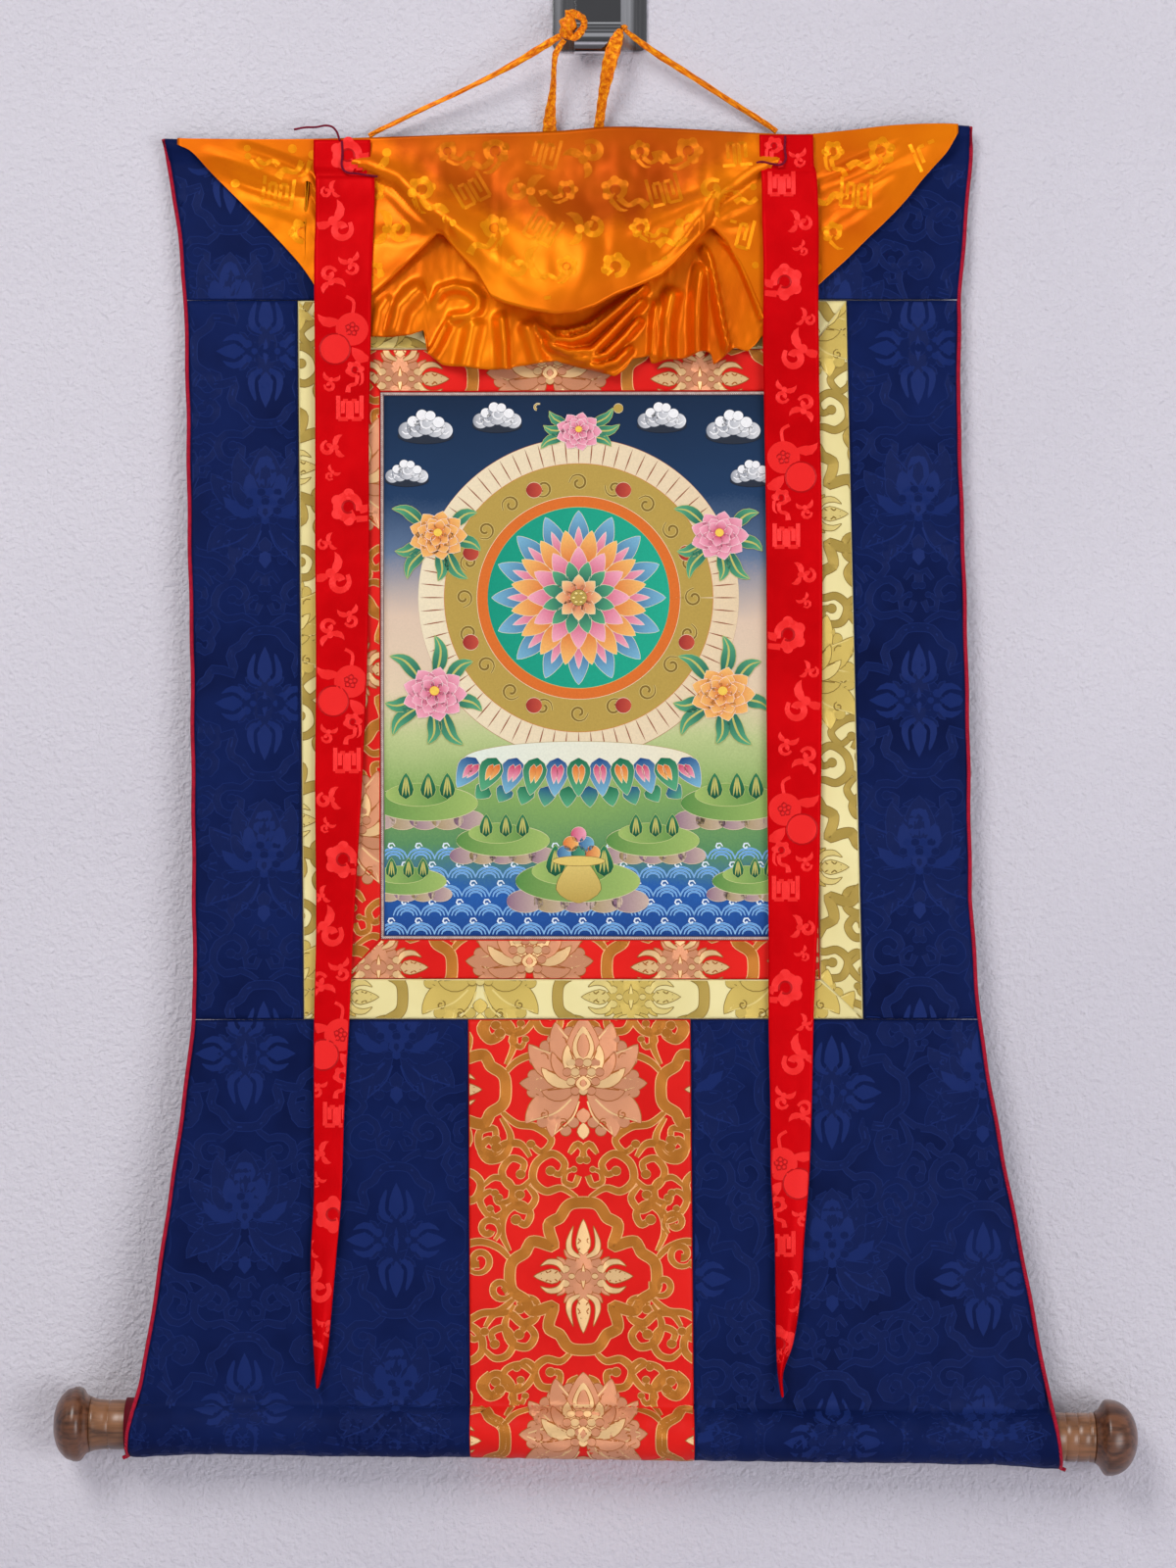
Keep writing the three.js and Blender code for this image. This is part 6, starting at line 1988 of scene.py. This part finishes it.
# ---------------------------------------------------------------- hanging ribbons
# Two long red damask ribbons, each turned over in a stiff head at the top edge, hanging free over the veil
# and the borders to a
# curled point.
# z, left x, right x, how far the back stands before the cloth, how far the tip has curled
RIBBONS = {
    "ribbon_left": (
        (-89.9, -183.8, -147.1, 0, 0), (-110.9, -183.7, -147.1, 0, 0), (-113.4, -182.5, -144.6, 9.2, 0),
        (-140.7, -182.4, -144.8, 9.4, 0), (-164.1, -183, -145.7, 10.2, 0),
        (-186.9, -182.9, -146.3, 10.6, 0), (-219.9, -182.9, -146.9, 6, 0), (-276.8, -182.7, -148.1, 3.4, 0),
        (-352.6, -182.6, -147.9, 3, 0), (-428.2, -181.8, -149.1, 3, 0), (-503.7, -182.2, -152.1, 3.2, 0),
        (-597.8, -181.4, -157.5, 3.4, 0), (-654.2, -182.5, -160, 3.2, 0), (-710.5, -182.4, -163, 3, 0.1),
        (-766.7, -182.3, -164.7, 3.2, 0.2), (-804.2, -184.1, -167.8, 3.6, 0.35),
        (-841.6, -183.4, -170.9, 4, 0.6), (-865.2, -182.1, -173.3, 4.2, 0.8),
        (-887.4, -180.6, -178.4, 4.6, 1),
    ),
    "ribbon_right": (
        (-86.7, 102.4, 137.1, 0, 0), (-107.1, 103, 137.7, 0, 0), (-109.6, 103.6, 139, 9.4, 0),
        (-140.7, 104.2, 140.5, 9.6, 0), (-164.1, 104.8, 140.5, 10.2, 0), (-191.4, 104.8, 140.1, 10.6, 0),
        (-219.9, 104.7, 140.7, 6, 0), (-264.1, 105.6, 141.2, 3.4, 0), (-314.7, 106.5, 142.4, 3, 0),
        (-377.8, 107, 142.9, 3, 0), (-453.4, 106.9, 142.4, 3, 0), (-522.5, 107.4, 141.4, 3.2, 0),
        (-597.8, 108, 139.3, 3.4, 0), (-654.2, 107.9, 136.7, 3.2, 0), (-710.5, 109, 135.4, 3, 0.1),
        (-754.2, 109.3, 133.7, 3.4, 0.25), (-791.7, 111.4, 130.5, 3.8, 0.45), (-829.1, 112, 128, 4, 0.6),
        (-860.2, 112.3, 123.2, 4.2, 0.8), (-878.9, 113.2, 116.9, 4.6, 1), (-893.3, 115.2, 117.1, 5, 1),
    ),
}
HEAD_BACK = HEM_FRONT - 1.1 - CLOTH / 2 - 0.9


def ribbon_shape(rows):
    """For a ribbon, where its edges are at a height, and the point of its front at a share of its width."""
    first = rows[0][0]
    falling = tuple((-row[0], *row[1:]) for row in rows)
    def edges(z):
        return flow(falling, -z, 1), flow(falling, -z, 2)
    def point(u, z, lift=0.0):
        x0, x1, stand, turn = (flow(falling, -z, c) for c in range(1, 5))
        head = 1 - ease((first - z - 20.5) / 3.0)
        x = mix(x0, x1, u)
        fall = (
            min(cloth_front((x0 + x1) / 2, z), cloth_front(x, z)) - stand
            - max(0, turn) * 5 * math.sin(u * math.pi) - 0.5 * math.sin(z / 41 + u * 2) - 1.0
        )
        y = (
            mix(fall, HEAD_BACK - 2.0, head) - 0.35 * noise.noise((x / 16, 2.0, z / 40))
            - 0.25 * noise.noise((x / 6, 2.0, z / 9))
        )
        return Vector((x, y - lift, z))
    return edges, point


ribbon_silk = woven_silk(
    "red_ribbon_damask", paint(186, 0, 6), paint(212, 4, 12), roughness=0.42, sheen=0.0, mottling=24.0,
    metal=0.15, shine=0.03
)
# painted sheen: the ribbon's figures are coloured lighter than its ground
RIBBON_LIT, RIBBON_SEAM = paint(248, 40, 38), paint(190, 2, 8)
ribbon_float = figure_thread(
    "ribbon_figure_thread", roughness=0.36, metal=0.1, outline=0.35, rib=1.2, depth=0.3
)
# what is woven down each ribbon, every 226 mm: how far down, how far across, the figure, its size, turn and
# mirroring
RIBBON_REPEAT = (
    (0, 5, fret, 15, 0, 1), (-26, -9, sprig, 13, 20, 1), (-44, -8, sprig, 8, 140, -1),
    (-64, 4, damask_cloud, 21, 60, 1), (-88, -12, sprig, 10, 30, 1), (-112, -2, sprig, 20, 60, -1),
    (-137, 6, sprig, 12, 120, 1), (-141, -9, sprig, 14, -60, 1), (-176, 6, fruit, 21, 10, 1),
    (-202, 8, damask_cloud, 11, -40, -1), (-212, -8, sprig, 10, 90, 1)
)
for side, rows in RIBBONS.items():
    edges, point = ribbon_shape(rows)
    ribbon = lay_cloth(
        f"{side}_silk", 16, 330, lambda u, w: point(u, mix(rows[0][0], rows[-1][0], w)), ribbon_silk,
        "red_ribbon", [side], thick=0.9
    )
    figures = []
    for start in range(-4, 3):
        for down, over, figure, size, turn, mirror in RIBBON_REPEAT:
            z = (-262 if side == "ribbon_left" else -344) - start * 226 + down
            if rows[-1][0] + 12 < z < rows[0][0] + 4:
                x0, x1 = edges(z)
                figures += moved(
                    figure(size, RIBBON_LIT, RIBBON_SEAM),
                    (x0 + x1) / 2 + (over if side == "ribbon_left" else -over), z, turn=turn,
                    mirror=mirror if side == "ribbon_left" else -mirror
                )

    def on_ribbon(x, z, lift):
        x0, x1 = edges(z)
        return point(min(0.975, max(0.025, (x - x0) / (x1 - x0))), z, lift)

    weave_figures(
        f"{side}_damask", figures, on_ribbon, ribbon_float, "red_ribbon", puff=0.02, lift=0.1,
        layer_step=0.02, keep=lambda x, z: edges(z)[0] < x < edges(z)[1]
    )


# ---------------------------------------------------------------- gathering threads
# Maroon thread stitched down the head of each ribbon and on to the gathered veil.
left_gather = strand(
    "gather_stitch_left",
    [
        (-165.5, -16.8, -90.9), (-165.1, -16.9, -99.4), (-165.4, -17.5, -107.1), (-163.5, -17.9, -110.5),
        (-155.3, -18, -112.1), (-147.1, -18, -113.4), (-142.4, -17.9, -114)
    ],
    0.7, maroon_thread, "maroon_thread",
)
right_gather = strand(
    "gather_stitch_right",
    [
        (119.1, -16.8, -87.7), (118.8, -16.9, -96.3), (119.1, -17.5, -103.2), (116.9, -17.9, -106.1),
        (110.6, -17.9, -105.8), (103.6, -17.9, -104.5), (100.5, -17.9, -105.2)
    ],
    0.7, maroon_thread, "maroon_thread",
)
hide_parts("gather_thread_left")
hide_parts("gather_thread_right")


# ---------------------------------------------------------------- hanging tapes
# Narrow tapes of twisted orange silk, sewn behind the top edge and led up to the hook: two long ones from
# the ends and two short
# ones from the middle. They meet in a knot at the left end of the hook's lip and run along its trough.
# x, y, z of the middle, width, turn of the face about its run in degrees
TAPES = {
    "tape_left_outer": (
        (-148.8, -5.7, -85.6, 3.2, 0), (-142.7, -6.6, -82.4, 3.3, 10), (-133.8, -8, -78.5, 3.4, 20),
        (-114.8, -10.6, -69.7, 3.2, 10), (-94.5, -13, -60.7, 3.6, 25), (-73.6, -15.4, -51.1, 3.4, 5),
        (-54.7, -17.6, -41.5, 4.2, -10), (-40.2, -19.4, -33.2, 4.8, -15), (-30.8, -21, -27.8, 4.6, -8),
        (-25.2, -22.2, -24.5, 3.8, -5)
    ),
    "tape_left_inner": (
        (-32.3, -5.8, -82.8, 9, 0), (-32.2, -7.2, -77, 8.4, 0), (-31.5, -10.2, -68.5, 6.6, 12),
        (-30.3, -13.2, -59.5, 5.2, 25), (-29.6, -16.4, -50.5, 4.2, 35), (-29.2, -19, -42.1, 3.8, 30),
        (-28.3, -20.6, -36.2, 4.2, 10), (-25.7, -21.4, -31.4, 3.8, 0), (-22.6, -22.3, -27.2, 3.4, 0)
    ),
    "tape_right_inner": (
        (-0.6, -5.8, -80.5, 6.6, 0), (0.4, -8, -73.3, 6.2, 5), (1.9, -12.2, -62.5, 6.6, 15),
        (4.1, -16.6, -51.7, 8.2, 12), (6.6, -20, -40.4, 9.4, -5), (9.7, -21, -30.2, 9.2, -10),
        (12.2, -20.9, -23.5, 6.4, -5), (13.2, -20.65, -20, 3.4, 0)
    ),
    "tape_right_outer": (
        (114.3, -5.7, -82.9, 3.4, 0), (108, -6.6, -78.5, 3.6, 8), (98.5, -7.8, -72.7, 3.8, 15),
        (80.7, -10, -61.9, 3.8, 5), (60.4, -12.8, -49.3, 4.2, -10), (42.7, -15.4, -38.6, 4.4, 5),
        (29.5, -17.6, -30.2, 4.2, 10), (21.3, -19, -24.4, 3.6, 5), (16.1, -20.9, -20.6, 2.6, 0)
    ),
    "tape_bridge": (
        (-19.8, -18.4, -17.8, 4, 0), (-17.6, -17.2, -18.8, 4.6, 0), (-12.6, -16.5, -20.3, 5, 0),
        (-3.8, -16.4, -20.9, 5.4, 0), (6.3, -16.4, -20.3, 5.4, 0), (12.6, -16.6, -19.1, 4.6, 0),
        (15.7, -17.8, -18.4, 4, 0), (16.6, -19.8, -19.1, 3.6, 0)
    ),
}
tape_silk, tape_shader = shader(
    "twisted_orange_silk", Sheen_Weight=0.03, Roughness=0.42, Specular_IOR_Level=0.15, Metallic=0.25
)
run = node(tape_silk, "UVMap", uv_map="along")
fibres = node(
    tape_silk, "Mapping", {"Vector": run.outputs[0], "Scale": (7.0, 5.0, 1.0), "Rotation": (0, 0, 0.5)}
)
twist_light_and_shade = node(
    tape_silk, "TexNoise", {"Vector": fibres.outputs[0], "Scale": 1.0, "Detail": 4.0, "Roughness": 0.65}
)
# painted shade and highlight: the colour runs dark to light along the slanting twist, in step with its bump
wire(
    tape_silk,
    ramp(
        tape_silk, twist_light_and_shade.outputs["Fac"], (0.34, paint(186, 78, 0)), (0.5, paint(232, 122, 4)),
        (0.64, paint(255, 170, 16))
    ),
    tape_shader.inputs["Base Color"]
)
bump(tape_silk, tape_shader, twist_light_and_shade.outputs["Fac"], 0.7, 0.0006)


def smooth_row(rows, t):
    """A row part way along a list of rows, rounded through them."""
    at = t * (len(rows) - 1)
    numbered = tuple((float(i), *row) for i, row in enumerate(rows))
    return [flow(numbered, at, c + 1) for c in range(len(rows[0]))]


def tape_point(rows, thick):
    """A twisted tape: a rounded, creased band whose face turns as it runs."""
    def point(u, w):
        x, y, z, width, turn = smooth_row(rows, w)
        ahead, behind = smooth_row(rows, min(1, w + 0.01)), smooth_row(rows, max(0, w - 0.01))
        along = (Vector(ahead[:3]) - Vector(behind[:3])).normalized()
        flat = along.cross(Vector((0, -1, 0))).normalized()
        face = flat.cross(along).normalized()
        a = math.radians(turn)
        wide, out = flat * math.cos(a) + face * math.sin(a), face * math.cos(a) - flat * math.sin(a)
        round_ = u * math.tau
        crease = 1 + 0.3 * math.sin(round_ * 3 + w * 34) + 0.16 * math.sin(w * 70 + round_)
        return (
            Vector((x, y, z)) + wide * (width / 2 * math.cos(round_)) * (1 + 0.05 * math.sin(w * 60))
            + out * (thick / 2 * math.sin(round_) * crease)
        )
    return point


def band(name, place, around, steps, finish, slot, nodes):
    """A closed band: rings laid out by place(u, w), joined to each other, with both ends capped."""
    mesh = bmesh.new()
    along = mesh.loops.layers.uv.new("along")
    bmesh.ops.create_grid(mesh, x_segments=around, y_segments=steps, size=0.5)
    for face in mesh.faces:
        for loop in face.loops:
            loop[along].uv = (loop.vert.co.x + 0.5, (0.5 - loop.vert.co.y) * steps / 20)
    for vert in mesh.verts:
        vert.co = place(vert.co.x + 0.5, 0.5 - vert.co.y)
    bmesh.ops.remove_doubles(mesh, verts=mesh.verts, dist=1e-4)
    rims = [edge for edge in mesh.edges if edge.is_boundary]
    bmesh.ops.holes_fill(mesh, edges=rims, sides=around + 2)
    bmesh.ops.recalc_face_normals(mesh, faces=mesh.faces)
    smooth_metres(mesh)
    made = fit(made_of(name, mesh, finish), slot)
    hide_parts(*nodes)
    return made


for name, rows in TAPES.items():
    band(name.replace("tape", "silk_tape"), tape_point(rows, 1.7), 16, 90, tape_silk, "orange_tape", [name])


def knot_point(u, w):
    """The knot: two turns of tape drawn tight into a lump at the end of the lip."""
    polar, turn = w * math.pi, u * math.tau
    wrap = 1 + 0.2 * math.sin(2 * turn + 6 * polar) * math.sin(polar) + 0.08 * math.sin(9 * polar + turn)
    x, y, z = (
        5 * math.sin(polar) * math.cos(turn) * wrap, -3.2 * math.sin(polar) * math.sin(turn) * wrap,
        8.4 * math.cos(polar)
    )
    c, s = math.cos(0.22), math.sin(0.22)
    return Vector((-20.7 + c * x + s * z, -22.4 + y, -18.4 - s * x + c * z))


LOOP = (
    (-22, -22.6, -11.0, 5.4, 0), (-16.6, -22.4, -10.6, 6.2, 20), (-11.4, -22, -13.0, 5.6, 35),
    (-9.8, -21.9, -17.2, 4.2, 20), (-12.3, -21.9, -21.8, 5.0, -10), (-15.8, -22, -25.4, 5.4, -25),
    (-20.7, -22.4, -24.7, 4.6, 0)
)
knot = band("silk_tape_knot", knot_point, 28, 26, tape_silk, "orange_tape", ["tape_knot"])
loop = band("silk_tape_loop", tape_point(LOOP, 3.0), 16, 70, tape_silk, "orange_tape", [])
loop.parent = knot


# ---------------------------------------------------------------- wall hook
# A square plate of brushed and plated steel fixed to the wall, and a wide strip welded down its face and
# bent up at the foot into
# a lip that carries the tapes.
steel, steel_shader = shader("plated_steel", Metallic=1.0, Roughness=0.2)
place = own_place(steel)
lines = node(steel, "Mapping", {"Vector": place, "Scale": (900.0, 900.0, 12.0)})
brushed = node(steel, "TexNoise", {"Vector": lines.outputs[0], "Scale": 1.0, "Detail": 3.0})
streaks = node(steel, "Mapping", {"Vector": place, "Scale": (90.0, 90.0, 2.0)})
bands = node(steel, "TexNoise", {"Vector": streaks.outputs[0], "Scale": 1.0, "Detail": 1.0})
wire(
    steel, ramp(steel, bands.outputs["Fac"], (0.5, paint(112, 112, 114)), (0.66, paint(196, 196, 200))),
    steel_shader.inputs["Base Color"]
)
wire(steel, remap(steel, brushed.outputs["Fac"], 0.14, 0.34), steel_shader.inputs["Roughness"])
bump(steel, steel_shader, brushed.outputs["Fac"], 0.08, 0.0001)
chrome, chrome_shader = shader("bright_chrome", Metallic=1.0, Roughness=0.08)
# the bend and the lip carry painted reflections: bright and dark bands across them, painted into the metal's
# colour; the flat above them is as dull as the plate
depth_and_height = node(chrome, "SeparateXYZ", {0: own_place(chrome)})
up_the_lip = remap(chrome, depth_and_height.outputs["Z"], start=-0.034, end=-0.014)
# painted reflections: light and dark bands up the lip
painted_reflection_bands = ramp(
    chrome, up_the_lip,
    *(
        (place, (shade, shade, shade * 1.02, 1))
        for place,
        shade in (
            (0.03, 0.95), (0.07, 0.12), (0.22, 0.16), (0.28, 0.8), (0.34, 0.14), (0.46, 0.2), (0.5, 0.85),
            (0.58, 0.9), (0.61, 0.1), (0.68, 0.5), (0.74, 0.12), (0.8, 0.45), (0.86, 0.08), (0.9, 1.0),
            (0.97, 1.0)
        )
    )
)
on_flat = remap(chrome, depth_and_height.outputs["Y"], start=-0.0075, end=-0.0045)
wire(chrome, blend(chrome, on_flat, painted_reflection_bands, (0.17, 0.17, 0.175, 1)), chrome_shader.inputs["Base Color"])
smear = node(chrome, "TexNoise", {"Vector": own_place(chrome), "Scale": 60.0, "Detail": 3.0})
wire(chrome, remap(chrome, smear.outputs["Fac"], 0.05, 0.16), chrome_shader.inputs["Roughness"])

mesh = bmesh.new()
bmesh.ops.create_cube(mesh, size=1.0)
bmesh.ops.scale(mesh, vec=(0.061, 0.002, 0.060), verts=mesh.verts)
bmesh.ops.translate(mesh, vec=(0, -0.001, 0), verts=mesh.verts)
uprights = [edge for edge in mesh.edges if abs(edge.verts[0].co.y - edge.verts[1].co.y) > 0.001]
bmesh.ops.bevel(mesh, geom=uprights, offset=0.005, segments=6, profile=0.5, affect="EDGES", material=-1)
fronts = [
    edge
    for edge in mesh.edges
    if all(vert.co.y < -0.0019 for vert in edge.verts) and len(edge.link_faces) == 2 and any(
        abs(face.normal.y) < 0.5 for face in edge.link_faces
    )
]
bmesh.ops.bevel(mesh, geom=fronts, offset=0.0006, segments=3, profile=0.5, affect="EDGES", material=-1)
fit(made_of("hook_plate", mesh, steel), "plate_steel", "wall_plate")

STRIP_MIDDLE = (
    (-3.1, 24), (-3.1, 2), (-3.1, -18), (-3.6, -23.5), (-5.2, -28.5), (-8.2, -31.9), (-12, -32.8),
    (-15.6, -30.8), (-17.8, -26.8), (-18.6, -21.4), (-18.9, -15.2)
)


def strip_point(u, w):
    y, z = smooth_row(STRIP_MIDDLE, w)
    ahead, behind = smooth_row(STRIP_MIDDLE, min(1, w + 0.01)), smooth_row(STRIP_MIDDLE, max(0, w - 0.01))
    run = Vector((ahead[0] - behind[0], ahead[1] - behind[1])).normalized()
    return Vector((mix(-16.3, 13.5, u), y + 0.75 * run.y, z - 0.75 * run.x))


hook = lay_cloth("hook_strip_bent", 12, 80, strip_point, chrome, "hook_chrome", ["hook_strip"], thick=1.5)
edge = hook.modifiers.new("rounded_edge", "BEVEL")
edge.width, edge.segments, edge.limit_method = 0.0003, 2, "ANGLE"
